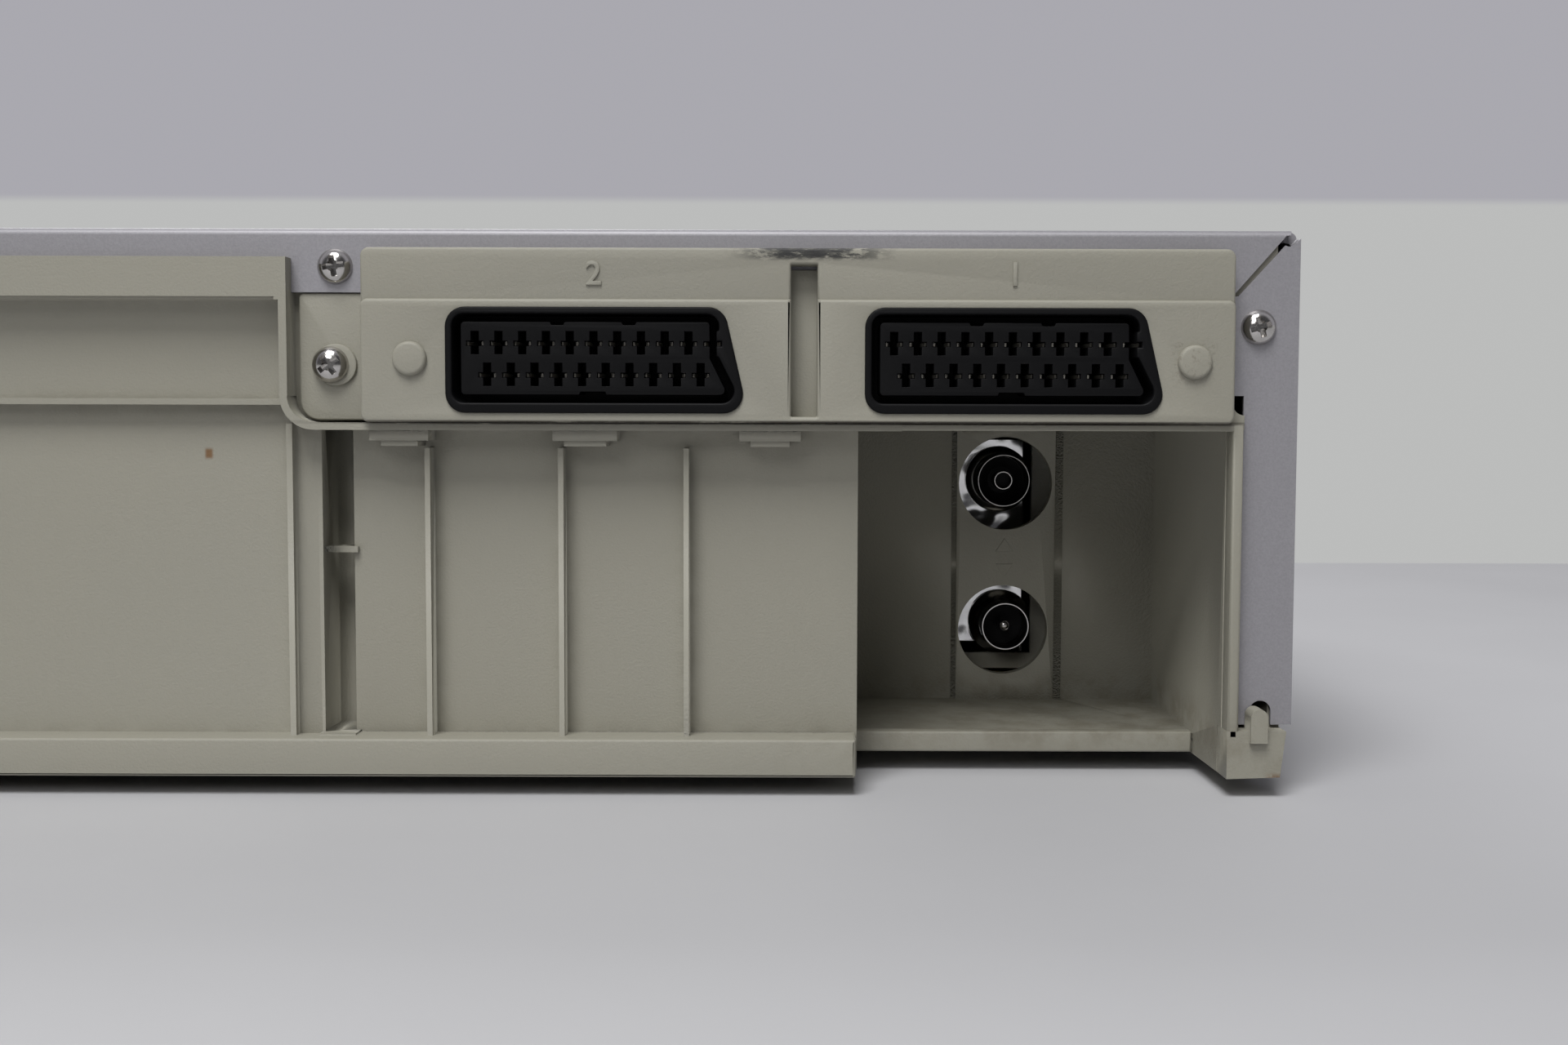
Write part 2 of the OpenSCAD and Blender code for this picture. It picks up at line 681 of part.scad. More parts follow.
// Laminated core round its wound bobbin, on a base with pins.
module transformer() {
    core = [42, 16, 36];
    leg = 7;
    color([0.85, 0.75, 0.2]) translate([127, 10, board_z + board_t]) {
        translate([0, 2, 0]) cube([42, 30, 3]);
        difference() {
            translate([0, 9, 2.8]) cube(core);
            for (x = [leg, core[0] / 2 + leg / 2]) translate([x, 5, 2.8 + leg])
                cube([core[0] / 2 - 1.5 * leg, 30, core[2] - 2 * leg]);
        }
        difference() {
            translate([leg + 0.2, 3, 2.8 + leg]) cube([core[0] - 2 * leg - 0.4, 28, core[2] - 2 * leg]);
            for (y = [2, 30]) translate([leg + 5, y, 2.8 + leg + 2]) cube([core[0] - 2 * leg - 10, 2, 18]);
        }
    }
}

module capacitors() {
    places = [[128, 76, 11, 36], [154, 84, 8, 26], [172, 66, 6, 20], [128, -24, 8, 22], [152, -18, 6, 18]];
    // The can is rolled in above its rubber base, and its top is scored so that it can vent.
    color([0.12, 0.14, 0.3]) for (c = places) translate([c[0], c[1], board_z + board_t]) difference() {
        rotate_extrude($fn = 48) polygon([[0, 0], [c[2], 0], [c[2], 2.2], [c[2] - 0.5, 2.7], [c[2], 3.2],
            [c[2], c[3] - 0.6], [c[2] - 0.6, c[3]], [c[2] - 1.4, c[3] - 0.3], [0, c[3] - 0.3]]);
        for (t = [0, 90]) rotate([0, 0, t]) translate([-c[2] * 0.6, -0.2, c[3] - 0.6])
            cube([c[2] * 1.2, 0.4, 1]);
    }
}

module heat_sink() {
    fins = 7;
    pitch = 5;
    color([0.3, 0.3, 0.32]) translate([140, -66, board_z + board_t]) {
        cube([3, fins * pitch - 3, 34]);
        for (i = [0:fins - 1]) translate([0, i * pitch, 0]) cube([16, 1.6, 34]);
    }
}

// Crowned front panel, its window and what stands behind it.
module crown_section(skin0, skin1) {
    translate([panel_face_y + crown_r, crown_z]) difference() {
        circle(r = crown_r - skin0, $fn = 200);
        circle(r = crown_r - skin1, $fn = 200);
    }
}

// A piece of the crowned face, between two depths below its surface.
module crown_slab(x0, x1, z0, z1, skin0, skin1) {
    translate([x0, 0, 0]) rotate([90, 0, 90]) linear_extrude(x1 - x0) intersection() {
        crown_section(skin0, skin1);
        translate([panel_face_y - 5, z0]) square([40, z1 - z0]);
    }
}

panel_t = 2.2;
slot_z = [51, 51 + slot_h];
window_w = 124;
window_z = [17, 43];
hinge_y = panel_face_y + 2.9;
hinge_z = slot_z[1] - 1.8;
hinge_r = 1.2;
jack_x = [-165, -147, -129];
jack_z = 28;
jack_r = 4.15;
pocket_y = front_y + 10;

// Buttons: middle across, height, width and height of the cap.
power_key = [-160, 68, 16, 16];
eject_key = [-128, 68, 26, 9];
play_key = [146, 70, 36, 11];
stop_key = [146, 38, 36, 9];
rewind_key = [128, 54, 24, 9];
forward_key = [164, 54, 24, 9];
record_key = [128, 22, 13, 13];
up_key = [82, 36, 14, 8];
down_key = [82, 23, 14, 8];
keys = [power_key, eject_key, play_key, stop_key, rewind_key, forward_key, record_key, up_key, down_key];
key_travel = 1;
groove_z = 47.6;

module key_outline(key, grow) {
    // A round key is a hair longer than it is high, so that its two ends stay apart.
    longer = key[2] == key[3] ? 0.02 : 0;
    translate([key[0], key[1]]) slot_shape(key[2] + 2 * grow + longer, key[3] + 2 * grow);
}

// An outline drawn across X and up, made solid between two depths.
module front_plate(y0, y1) {
    translate([0, y1, 0]) rotate([90, 0, 0]) linear_extrude(y1 - y0) children();
}

module front_panel() {
    color(panel_colour) difference() {
        union() {
            crown_slab(edge_x, -edge_x, base_z, body_h, 0, panel_t);
            for (s = [0, 1]) mirror([s, 0, 0])
                translate([edge_x, panel_face_y + 2.5, base_z])
                    cube([panel_t, panel_back_y - panel_face_y - 2.5, body_h - base_z]);
            for (z = [base_z, body_h - panel_t])
                translate([edge_x, panel_face_y + 2.5, z])
                    cube([body_w, panel_back_y - panel_face_y - 2.5, panel_t]);
            crown_slab(-window_w / 2 - 2, window_w / 2 + 2, window_z[0] - 2, window_z[1] + 2, 2, 3.2);
            // Ears for the hinge pins of the door.
            for (s = [-1, 1]) translate([s * (slot_w / 2 + 2) - 2, panel_face_y + 1.4, hinge_z - 4])
                cube([4, 5.6, 8]);
            translate([-179, panel_face_y + 1, 17]) cube([64, pocket_y - panel_face_y + 0.8, 22]);
        }
        front_plate(front_y - 1, panel_back_y) translate([-slot_w / 2, slot_z[0]])
            round_rect(slot_w, slot_h, 1.5);
        crown_slab(-window_w / 2, window_w / 2, window_z[0], window_z[1], -1, 2);
        front_plate(front_y, panel_back_y) translate([-window_w / 2 + 3, window_z[0] + 3])
            square([window_w - 6, window_z[1] - window_z[0] - 6]);
        front_plate(front_y - 1, panel_face_y + 6) for (k = keys) key_outline(k, gap);
        translate([-slot_w / 2 - 3.4, hinge_y, hinge_z]) rotate([0, 90, 0])
            cylinder(r = hinge_r + run_gap, h = slot_w + 6.8, $fn = 32);
        front_plate(front_y - 1, pocket_y) translate([-177, 19]) round_rect(60, 18, 4);
        // A shadow line runs across under the cassette opening.
        crown_slab(edge_x - 1, 1 - edge_x, groove_z, groove_z + 0.8, -1, 0.6);
        for (x = jack_x) translate([x, front_y + 20, jack_z]) rotate([90, 0, 0])
            cylinder(r = 6.2, h = 20, $fn = 48);
    }
}

module display_window() {
    color(smoke) crown_slab(-window_w / 2 + 0.2, window_w / 2 - 0.2,
        window_z[0] + 0.2, window_z[1] - 0.2, 0.3, 2);
}

board_y = front_y + 15;
module display_tube() {
    color([0.15, 0.3, 0.3]) translate([-52, panel_face_y + 5.5, 20.5]) cube([104, 6, 19]);
    color(nickel) for (x = [-48:4:48])
        translate([x, panel_face_y + 11, 24]) cube([0.6, board_y - panel_face_y - 11, 0.6]);
}

module front_board() {
    wing = slot_w / 2 + 6;
    color(board_colour) front_plate(board_y, board_y + board_t) polygon([[-184, 8], [184, 8],
        [184, 84], [wing, 84], [wing, 46], [-wing, 46], [-wing, 84], [-184, 84]]);
    color(steel) for (k = keys) translate([k[0] - 3, board_y - 2.5, k[1] - 3]) {
        cube([6, 2.7, 6]);
    }
}

module av_input_jacks() {
    colours = [[0.85, 0.7, 0.1], [0.9, 0.9, 0.88], [0.75, 0.1, 0.1]];
    for (i = [0:2]) translate([jack_x[i], 0, jack_z]) {
        color(colours[i]) translate([0, board_y, 0]) rotate([90, 0, 0]) difference() {
            cylinder(r = 6, h = board_y - pocket_y + 1.2, $fn = 48);
            translate([0, 0, -1]) cylinder(r = 3, h = 30, $fn = 32);
        }
        color(nickel) translate([0, board_y, 0]) rotate([90, 0, 0]) difference() {
            cylinder(r = jack_r, h = board_y - front_y - 1.2, $fn = 48);
            translate([0, 0, 4]) cylinder(r = 1.7, h = 30, $fn = 32);
        }
    }
}

// A push button: cap, the flange that keeps it in, and the stem that meets its switch.
module push_button(key, reach) {
    seat_y = face_at(key[1]) + panel_t;
    dish_r = 40;
    difference() {
        front_plate(front_y + reach, seat_y + 0.6) key_outline(key, 0);
        // The cap is dished a little for the finger.
        translate([key[0], front_y + reach - dish_r + 0.5, key[1] - 20])
            cylinder(r = dish_r, h = 40, $fn = 160);
    }
    front_plate(seat_y + 0.4, seat_y + 1.4) key_outline(key, 1.2);
    front_plate(seat_y + 1.2, board_y - 2.5 - key_travel - 0.1) translate([key[0], key[1]])
        square([3, 3], center = true);
}

module power_button() { color(panel_colour * 0.9) push_button(power_key, 0); }
module eject_button() { color(panel_colour * 0.9) push_button(eject_key, 0.8); }
module play_button() { color(panel_colour * 0.9) push_button(play_key, 0.6); }
module stop_button() { color(panel_colour * 0.9) push_button(stop_key, 0.8); }
module rewind_button() { color(panel_colour * 0.9) push_button(rewind_key, 0.8); }
module forward_button() { color(panel_colour * 0.9) push_button(forward_key, 0.8); }
module record_button() { color([0.6, 0.15, 0.12]) push_button(record_key, 0.8); }
module channel_up_button() { color(panel_colour * 0.9) push_button(up_key, 0.8); }
module channel_down_button() { color(panel_colour * 0.9) push_button(down_key, 0.8); }

// The flap over the cassette opening, hinged along its top.
module cassette_door() {
    half = slot_w / 2 - 0.6;
    color(panel_colour * 0.95) {
        crown_slab(-half, half, slot_z[0] + 0.5, slot_z[1] - 0.6, 0, 2);
        translate([-half + 2, hinge_y, hinge_z]) rotate([0, 90, 0])
            cylinder(r = 1.7, h = 2 * half - 4, $fn = 32);
        translate([-half - 3.2, hinge_y, hinge_z]) rotate([0, 90, 0])
            cylinder(r = hinge_r, h = 2 * half + 6.4, $fn = 32);
    }
}

// Tape deck.
deck_top = deck_z + deck_t;
drum_place = [-8, 38];
capstan_place = [66, 4];
reel_y = -61;
reel_x = reel_pitch / 2;
guide_start = [20, -52];
guide_end = [34, 8];
bracket_x = 102;
bracket_t = 1.2;
pinch_pivot = [94, 22];
tension_pivot = [-88, 8];
gear_place = [84, 54];
idler_pivot = [0, -98];
idler_reach = 34;

// The guides run on arcs either side of the drum. Places are measured from the drum's middle.
guide_mid = (guide_start + guide_end) / 2;
guide_chord = guide_end - guide_start;
guide_half = norm(guide_chord) / 2;
guide_back = 50;
function arc_centre(side) = drum_place
    + [side * (guide_mid[0] - guide_back * guide_chord[1] / norm(guide_chord)),
    guide_mid[1] + guide_back * guide_chord[0] / norm(guide_chord)];
arc_r = sqrt(guide_half * guide_half + guide_back * guide_back);
arc_place = arc_centre(1) - drum_place;
arc_a0 = atan2(guide_start[1] - arc_place[1], guide_start[0] - arc_place[0]);
arc_a1 = atan2(guide_end[1] - arc_place[1], guide_end[0] - arc_place[0]);

module arc_slot(r, width, a0, a1) {
    reach = 2 * r;
    intersection() {
        difference() {
            circle(r = r + width / 2, $fn = 120);
            circle(r = r - width / 2, $fn = 120);
        }
        polygon([[0, 0], reach * [cos(a0), sin(a0)], reach * [cos((a0 + a1) / 2), sin((a0 + a1) / 2)],
            reach * [cos(a1), sin(a1)]]);
    }
    for (a = [a0, a1]) translate(r * [cos(a), sin(a)]) circle(d = width - 0.2, $fn = 32);
}

module deck_plate() {
    color(steel) translate([0, 0, deck_z]) linear_extrude(deck_t) difference() {
        translate([-112, -108]) round_rect(220, 184, 4);
        translate(drum_place) circle(r = 17, $fn = 64);
        translate(capstan_place) circle(r = 4.5 + run_gap, $fn = 48);
        for (s = shafts) translate(s[0]) circle(r = shaft_r, $fn = 32);
        for (s = [-1, 1]) translate(arc_centre(s)) mirror([s < 0 ? 1 : 0, 0])
            arc_slot(arc_r, 5.2, arc_a0, arc_a1);
        for (p = deck_posts) translate(p) circle(r = screw_r + 0.3, $fn = 32);
        for (x = [-92, 52]) translate([x, -104]) round_rect(36, 12, 3);
    }
}

// Shafts riveted to the deck: place, and height above the deck.
shaft_r = 1.5;
shafts = [[[-reel_x, reel_y], 22], [[reel_x, reel_y], 22], [pinch_pivot, 32], [tension_pivot, 8],
    [gear_place, 14], [idler_pivot, 6]];
module deck_shafts() {
    color(steel) for (s = shafts) translate([s[0][0], s[0][1], deck_z - 1]) {
        cylinder(r = shaft_r, h = s[1] + deck_t + 1, $fn = 32);
    }
}

reel_teeth = 66;
idler_teeth = 42;
reel_modulus = 0.6;
module reel() {
    difference() {
        union() {
            linear_extrude(3) gear_outline(reel_teeth, reel_modulus, 0.1);
            cylinder(r = 13, h = 7.4, $fn = 64);
            cylinder(r = 9, h = 17, $fn = 48);
            translate([0, 0, 17]) cylinder(r1 = 9, r2 = 4, h = 3, $fn = 48);
            for (i = [0:2]) rotate([0, 0, i * 120]) translate([6, -1.2, 3]) cube([5, 2.4, 13]);
        }
        translate([0, 0, -1]) cylinder(r = shaft_r + run_gap, h = 30, $fn = 32);
    }
}

module supply_reel() { color([0.85, 0.85, 0.82]) translate([-reel_x, reel_y, deck_top + 0.6]) reel(); }
module takeup_reel() { color([0.85, 0.85, 0.82]) translate([reel_x, reel_y, deck_top + 0.6]) reel(); }

drum_split = 18;
ledge_t = 0.35;
module drum_frame() {
    translate([drum_place[0], drum_place[1], deck_top]) rotate([drum_tilt, 0, 0]) children();
}

// The fixed lower drum. The ledge round it, level with the deck, carries the tape's lower edge.
module lower_drum() {
    color([0.75, 0.76, 0.78]) difference() {
        union() {
            intersection() {
                drum_frame() translate([0, 0, -6]) cylinder(r = 24, h = 14, $fn = 64);
                translate([drum_place[0] - 40, drum_place[1] - 40, deck_top]) cube([80, 80, 40]);
            }
            drum_frame() translate([0, 0, 7]) cylinder(r = drum_r, h = drum_split - 7, $fn = 96);
            intersection() {
                drum_frame() translate([0, 0, 7])
                    cylinder(r = drum_r + ledge_t, h = drum_split - 7, $fn = 96);
                translate([drum_place[0] - 40, drum_place[1] - 40, deck_top]) cube([80, 80, 13]);
            }
        }
        drum_frame() translate([0, 0, -20]) cylinder(r = 3 + run_gap, h = 60, $fn = 48);
        // The lower drum is hollow above for the rotary transformer.
        drum_frame() translate([0, 0, drum_split - 5]) difference() {
            cylinder(r = drum_r - 3, h = 8, $fn = 64);
            translate([0, 0, -1]) cylinder(r = 8, h = 12, $fn = 48);
        }
    }
}

// The upper drum: four head windows at its lower edge, air grooves, and the rotor on top.
module upper_drum() {
    top = drum_split + 15;
    color([0.8, 0.8, 0.82]) drum_frame() difference() {
        union() {
            translate([0, 0, drum_split + 0.3]) cylinder(r = drum_r, h = 14.7, $fn = 96);
            translate([0, 0, top - 0.1]) cylinder(r = 19, h = 7.1, $fn = 64);
            translate([0, 0, 4]) cylinder(r = 3, h = drum_split, $fn = 48);
        }
        for (i = [0:3]) rotate([0, 0, 45 + i * 90]) translate([drum_r - 3, -2.5, drum_split - 1])
            cube([6, 5, 3.2]);
        for (z = [5, 8, 11]) translate([0, 0, drum_split + z]) difference() {
            cylinder(r = drum_r + 1, h = 0.3, $fn = 96);
            translate([0, 0, -1]) cylinder(r = drum_r - 0.25, h = 3, $fn = 96);
        }
        translate([0, 0, top - 3]) difference() {
            cylinder(r = drum_r - 2.5, h = 10, $fn = 96);
            translate([0, 0, -1]) cylinder(r = 19, h = 12, $fn = 64);
        }
        for (i = [0:2]) rotate([0, 0, i * 120]) translate([13, 0, top + 4])
            cylinder(r = 1.4, h = 6, $fn = 24);
        translate([0, 0, top + 5]) cylinder(r = 5, h = 4, $fn = 48);
    }
}

module capstan_bearing() {
    color([0.7, 0.6, 0.3]) translate([capstan_place[0], capstan_place[1], 0]) difference() {
        union() {
            translate([0, 0, deck_z - 2]) cylinder(r = 4.5, h = 11, $fn = 48);
            translate([0, 0, deck_top]) cylinder(r = 7, h = 2, $fn = 48);
        }
        cylinder(r = capstan_r + run_gap, h = 60, $fn = 32);
    }
}

module capstan() {
    color(steel) translate([capstan_place[0], capstan_place[1], 0]) {
        translate([0, 0, 13.4]) cylinder(r = 26, h = 7, $fn = 96);
        translate([0, 0, 13.4]) cylinder(r = capstan_r, h = 40.2, $fn = 32);
    }
}

// The pinch arm swings the roller against the capstan.
pinch_reach = 24.74;
pinch_open = 175.95;
pinch_place = pinch_pivot + pinch_reach * [cos(pinch_open), sin(pinch_open)];
module pinch_arm() {
    color(steel) {
        translate([pinch_pivot[0], pinch_pivot[1], deck_top + 0.3]) difference() {
            union() {
                cylinder(r = 4, h = 31, $fn = 32);
                translate([0, 0, 28]) linear_extrude(2) rotate([0, 0, pinch_open])
                    translate([pinch_reach / 2, 0]) slot_shape(pinch_reach + 7, 7);
            }
            translate([0, 0, -1]) cylinder(r = shaft_r + run_gap, h = 40, $fn = 32);
        }
        translate([pinch_place[0], pinch_place[1], deck_top + 7]) cylinder(r = shaft_r, h = 22, $fn = 32);
    }
}

module pinch_roller() {
    color([0.1, 0.1, 0.1]) translate([pinch_place[0], pinch_place[1], deck_top + 9]) difference() {
        cylinder(r = pinch_r, h = 17, $fn = 64);
        translate([0, 0, -1]) cylinder(r = shaft_r + run_gap, h = 30, $fn = 32);
    }
}

module erase_head() {
    color(steel) translate([-76, 18, deck_top]) {
        translate([-9, -6, 0]) cube([18, 12, 2]);
        translate([-5, -5, 2]) cube([10, 8, 24]);
    }
}

module audio_control_head() {
    color(steel) translate([48, 26, deck_top]) {
        translate([-8, -6, 0]) cube([16, 12, 2]);
        translate([-4, -5, 2]) cube([8, 10, 26]);
        translate([-7, -6, 10]) cube([14, 4, 16]);
    }
}

// A tape guide on its carriage, which runs in an arc slot of the deck.
module tape_guide(side) {
    c = arc_centre(side);
    color([0.85, 0.86, 0.88]) translate([c[0], c[1], 0]) mirror([side < 0 ? 1 : 0, 0, 0])
        rotate([0, 0, arc_a0]) translate([arc_r, 0, 0]) {
            translate([-4.5, -7, deck_top + 0.3]) cube([9, 14, 4]);
            translate([0, 0, deck_z - 2]) cylinder(r = 2.4, h = 4, $fn = 32);
            translate([0, 0, deck_z - 2.3]) cylinder(r = 5, h = 2, $fn = 32);
            translate([0, 0, deck_top + 4]) cylinder(r = 1.5, h = 24.4, $fn = 32);
            translate([0, 0, deck_top + 11]) cylinder(r = 3, h = 15.6, $fn = 32);
            translate([0, -4, deck_top + 2]) rotate([8, 0, 0]) cylinder(r = 1.2, h = 22, $fn = 24);
        }
}

module supply_guide() { tape_guide(-1); }
module takeup_guide() { tape_guide(1); }

module tension_arm() {
    reach = 28;
    turn = -32;
    color(steel) translate([tension_pivot[0], tension_pivot[1], deck_top + 0.3]) {
        difference() {
            union() {
                cylinder(r = 4, h = 4, $fn = 32);
                rotate([0, 0, turn]) translate([reach / 2, 0, 1]) linear_extrude(1.5)
                    slot_shape(reach + 6, 6);
            }
            translate([0, 0, -1]) cylinder(r = shaft_r + run_gap, h = 10, $fn = 32);
        }
        rotate([0, 0, turn]) translate([reach, 0, 1]) cylinder(r = 2, h = 26, $fn = 32);
    }
}

// Side brackets with two stepped slots each, for the carrier's pins.
carrier_y = [-52, -2];
carrier_half = 97.5;
pin_r = 2;
front_pin = [-46, 62];
rear_pin = [-10, 74];
module step_slot(pin) {
    w = 2 * (pin_r + 0.2);
    translate([pin[0] - run_in / 2, pin[1]]) slot_shape(run_in + w, w);
    translate([pin[0], pin[1] - drop_h / 2]) rotate(90) slot_shape(drop_h + w, w);
}

bracket_h = 63;
sync_place = [-51, 84.5];
module guide_bracket(side) {
    color(steel) mirror([side < 0 ? 1 : 0, 0, 0]) {
        translate([bracket_x, 0, 0]) rotate([90, 0, 90]) linear_extrude(bracket_t) difference() {
            translate([-114, deck_top]) square([120, bracket_h]);
            step_slot(front_pin);
            step_slot(rear_pin);
            translate(sync_place) circle(r = 2 + run_gap, $fn = 32);
        }
        translate([bracket_x, -50, deck_top]) cube([5, 40, bracket_t]);
    }
}

module guide_bracket_left() { guide_bracket(-1); }
module guide_bracket_right() { guide_bracket(1); }

module top_bracket() {
    color(steel) translate([-bracket_x - bracket_t, -24, deck_top + bracket_h])
        cube([2 * (bracket_x + bracket_t), 28, bracket_t]);
}

module cassette_carrier() {
    length = carrier_y[1] - carrier_y[0];
    color(steel) {
        for (s = [0, 1]) mirror([s, 0, 0]) {
            translate([carrier_half - 1.2, carrier_y[0], 53.2]) cube([1.2, length, 29]);
            translate([70, carrier_y[0], 53.2]) cube([carrier_half - 70, length, 1.2]);
            for (p = [front_pin, rear_pin]) translate([carrier_half - 0.6, p[0], p[1]])
                rotate([0, 90, 0]) cylinder(r = pin_r, h = bracket_x + 5 - carrier_half, $fn = 32);
        }
        translate([-carrier_half, carrier_y[0] + 14, 81]) cube([2 * carrier_half, length - 14, 1.2]);
    }
}

// Racks outside the brackets push the carrier in, and let its pins down.
rack_x = bracket_x + bracket_t + 0.4;
rack_t = 1.6;
pinion_teeth = 12;
pinion_modulus = 0.75;
rack_pitch = PI * pinion_modulus;
rack_line = sync_place[1] - pinion_teeth * pinion_modulus / 2;
rack_root = rack_line - 1.2 * pinion_modulus;
rack_tip = rack_line + 0.6 * pinion_modulus;
rack_y = [-58, 14];

// Straight-sided teeth. A space of the rack faces the tooth of the pinion that points down.
module rack_teeth() {
    first = ceil((rack_y[0] - sync_place[0]) / rack_pitch);
    last = floor((rack_y[1] - sync_place[0]) / rack_pitch) - 1;
    root_half = rack_pitch / 4 - 0.1 + (rack_line - rack_root) * tan(pressure);
    tip_half = rack_pitch / 4 - 0.1 - (rack_tip - rack_line) * tan(pressure);
    for (i = [first:last]) translate([sync_place[0] + (i + 0.5) * rack_pitch, 0])
        polygon([[-root_half, rack_root - 0.1], [root_half, rack_root - 0.1], [root_half, rack_root],
            [tip_half, rack_tip], [-tip_half, rack_tip], [-root_half, rack_root]]);
}

module carrier_racks() {
    w = 2 * (pin_r + 0.2);
    color([0.8, 0.8, 0.78]) for (s = [0, 1]) mirror([s, 0, 0]) translate([rack_x, 0, 0])
        rotate([90, 0, 90]) linear_extrude(rack_t) difference() {
            union() {
                translate([-51, 36]) square([46, 41]);
                translate([rack_y[0], 76.5]) square([rack_y[1] - rack_y[0], rack_root - 76.5]);
                rack_teeth();
            }
            // A window between the two slots saves weight.
            translate([-38, 42]) round_rect(20, 26, 3);
            for (p = [front_pin, rear_pin]) translate([p[0], p[1] - drop_h / 2]) rotate(90)
                slot_shape(drop_h + w, w);
        }
}

// Loading gear with 28 teeth, turned by a worm with one start on the motor's shaft.
gear_teeth = 28;
gear_modulus = 1;
worm_r = 2.8;
worm_lead = PI * gear_modulus;
worm_x = [77, 91];
worm_y = gear_place[1] + gear_teeth * gear_modulus / 2 + worm_r;
worm_z = deck_top + 10.5;
module loading_gear() {
    color([0.9, 0.9, 0.85]) translate([gear_place[0], gear_place[1], 0]) difference() {
        union() {
            translate([0, 0, worm_z - 1.5]) linear_extrude(3) gear_outline(gear_teeth, gear_modulus, 0.1);
            translate([0, 0, deck_top + 0.3]) cylinder(r = 4, h = 13, $fn = 32);
        }
        translate([0, 0, deck_top - 1]) cylinder(r = shaft_r + run_gap, h = 20, $fn = 32);
        for (i = [0:5]) rotate([0, 0, i * 60]) translate([8.3, 0, worm_z - 3])
            cylinder(r = 2.4, h = 6, $fn = 32);
    }
}

module loading_motor() {
    can_x = [32, 58];
    color(steel) difference() {
        union() {
            intersection() {
                translate([can_x[0], worm_y, worm_z]) rotate([0, 90, 0])
                    cylinder(r = 10, h = can_x[1] - can_x[0], $fn = 64);
                translate([can_x[0] - 1, worm_y - 10, worm_z - 7.7]) cube([40, 20, 15.4]);
            }
            translate([can_x[0] - 3, worm_y, worm_z]) rotate([0, 90, 0]) cylinder(r = 4, h = 35, $fn = 48);
            translate([can_x[0], worm_y - 7, deck_top]) cube([26, 12, 4]);
        }
        translate([can_x[0] + 8, worm_y, worm_z]) rotate([0, 90, 0])
            cylinder(r = 1 + run_gap, h = 30, $fn = 32);
    }
}

// The worm's thread, as a radius that depends on the distance along from the thread's middle.
function thread_r(d) = worm_r + 0.9 - 2 * min(1, max(0, (abs(d) - 0.12) / 0.72));
module loading_worm() {
    // A space of the thread faces the tooth that points at it.
    phase = 270 - 360 * (gear_place[0] + worm_lead / 2 - worm_x[0]) / worm_lead;
    steps = 16;
    color([0.9, 0.9, 0.85]) translate([0, worm_y, worm_z]) rotate([0, 90, 0]) {
        translate([0, 0, 45]) cylinder(r = 1, h = 54, $fn = 32);
        for (x = [worm_x[0] - 3, worm_x[1]]) translate([0, 0, x - 0.1]) cylinder(r = 3.4, h = 3.2, $fn = 32);
        translate([0, 0, worm_x[0]]) linear_extrude(worm_x[1] - worm_x[0],
                twist = -360 * (worm_x[1] - worm_x[0]) / worm_lead, slices = 54)
            polygon([for (i = [0:steps - 1]) let (a = 360 * i / steps,
                turn = ((i / steps + 0.5) % 1 - 0.5))
                thread_r(turn * worm_lead) * [cos(a + phase), sin(a + phase)]]);
    }
}

// The shaft that keeps the two racks level, with a pinion at each end.
module sync_shaft() {
    color(steel) translate([0, sync_place[0], sync_place[1]]) rotate([0, 90, 0]) {
        translate([0, 0, -rack_x - rack_t]) cylinder(r = 2, h = 2 * (rack_x + rack_t), $fn = 32);
        // The moulded pinions are pressed on its ends.
        for (s = [-1, 1]) translate([0, 0, s * (rack_x + rack_t / 2) - rack_t / 2])
            linear_extrude(rack_t) difference() {
                gear_outline(pinion_teeth, pinion_modulus, 0.15);
                circle(r = 2.02, $fn = 32);
            }
    }
}

// The idler swings between the teeth of the two reel tables.
module idler_arm() {
    color([0.9, 0.9, 0.85]) translate([idler_pivot[0], idler_pivot[1], deck_top + 0.4]) difference() {
        union() {
            cylinder(r = 4, h = 3, $fn = 32);
            rotate(90) linear_extrude(1.2) translate([idler_reach / 2, 0]) slot_shape(idler_reach + 6, 7);
            translate([0, idler_reach, 0]) cylinder(r = 6, h = 2, $fn = 48);
            translate([0, idler_reach, 1]) linear_extrude(2.4) gear_outline(idler_teeth, reel_modulus, 0.1);
        }
        translate([0, 0, -1]) cylinder(r = shaft_r + run_gap, h = 10, $fn = 32);
        for (i = [0:4]) translate([0, idler_reach, 2]) rotate([0, 0, 36 + i * 72]) translate([8.6, 0, 0])
            cylinder(r = 2, h = 4, $fn = 24);
    }
}

// The coils under the flywheel turn the capstan.
module capstan_stator() {
    color([0.7, 0.4, 0.2]) translate([capstan_place[0], capstan_place[1], board_z + board_t])
        for (i = [0:5]) rotate([0, 0, i * 60]) translate([15, 0, 0]) difference() {
            cylinder(r = 6, h = 2.2, $fn = 32);
            translate([0, 0, -1]) cylinder(r = 3, h = 5, $fn = 32);
        }
}

top_cover();
main_frame();
bottom_plate();
feet();
av_terminal_cover();
av_socket_1();
av_socket_2();
av_contacts();
av_board();
tuner_can();
aerial_socket();
rf_out_plug();
screws();
capstan_stator();
main_board();
power_board();
mains_inlet();
transformer();
capacitors();
heat_sink();
front_panel();
display_window();
display_tube();
front_board();
av_input_jacks();
deck_plate();
lower_drum();
capstan_bearing();
erase_head();
audio_control_head();
deck_shafts();
guide_bracket_left();
guide_bracket_right();
top_bracket();
loading_motor();
loading_worm();
cassette_door();
power_button();
eject_button();
play_button();
stop_button();
rewind_button();
forward_button();
record_button();
channel_up_button();
channel_down_button();
upper_drum();
capstan();
supply_reel();
takeup_reel();
pinch_arm();
pinch_roller();
supply_guide();
takeup_guide();
tension_arm();
cassette_carrier();
carrier_racks();
loading_gear();
sync_shaft();
idler_arm();
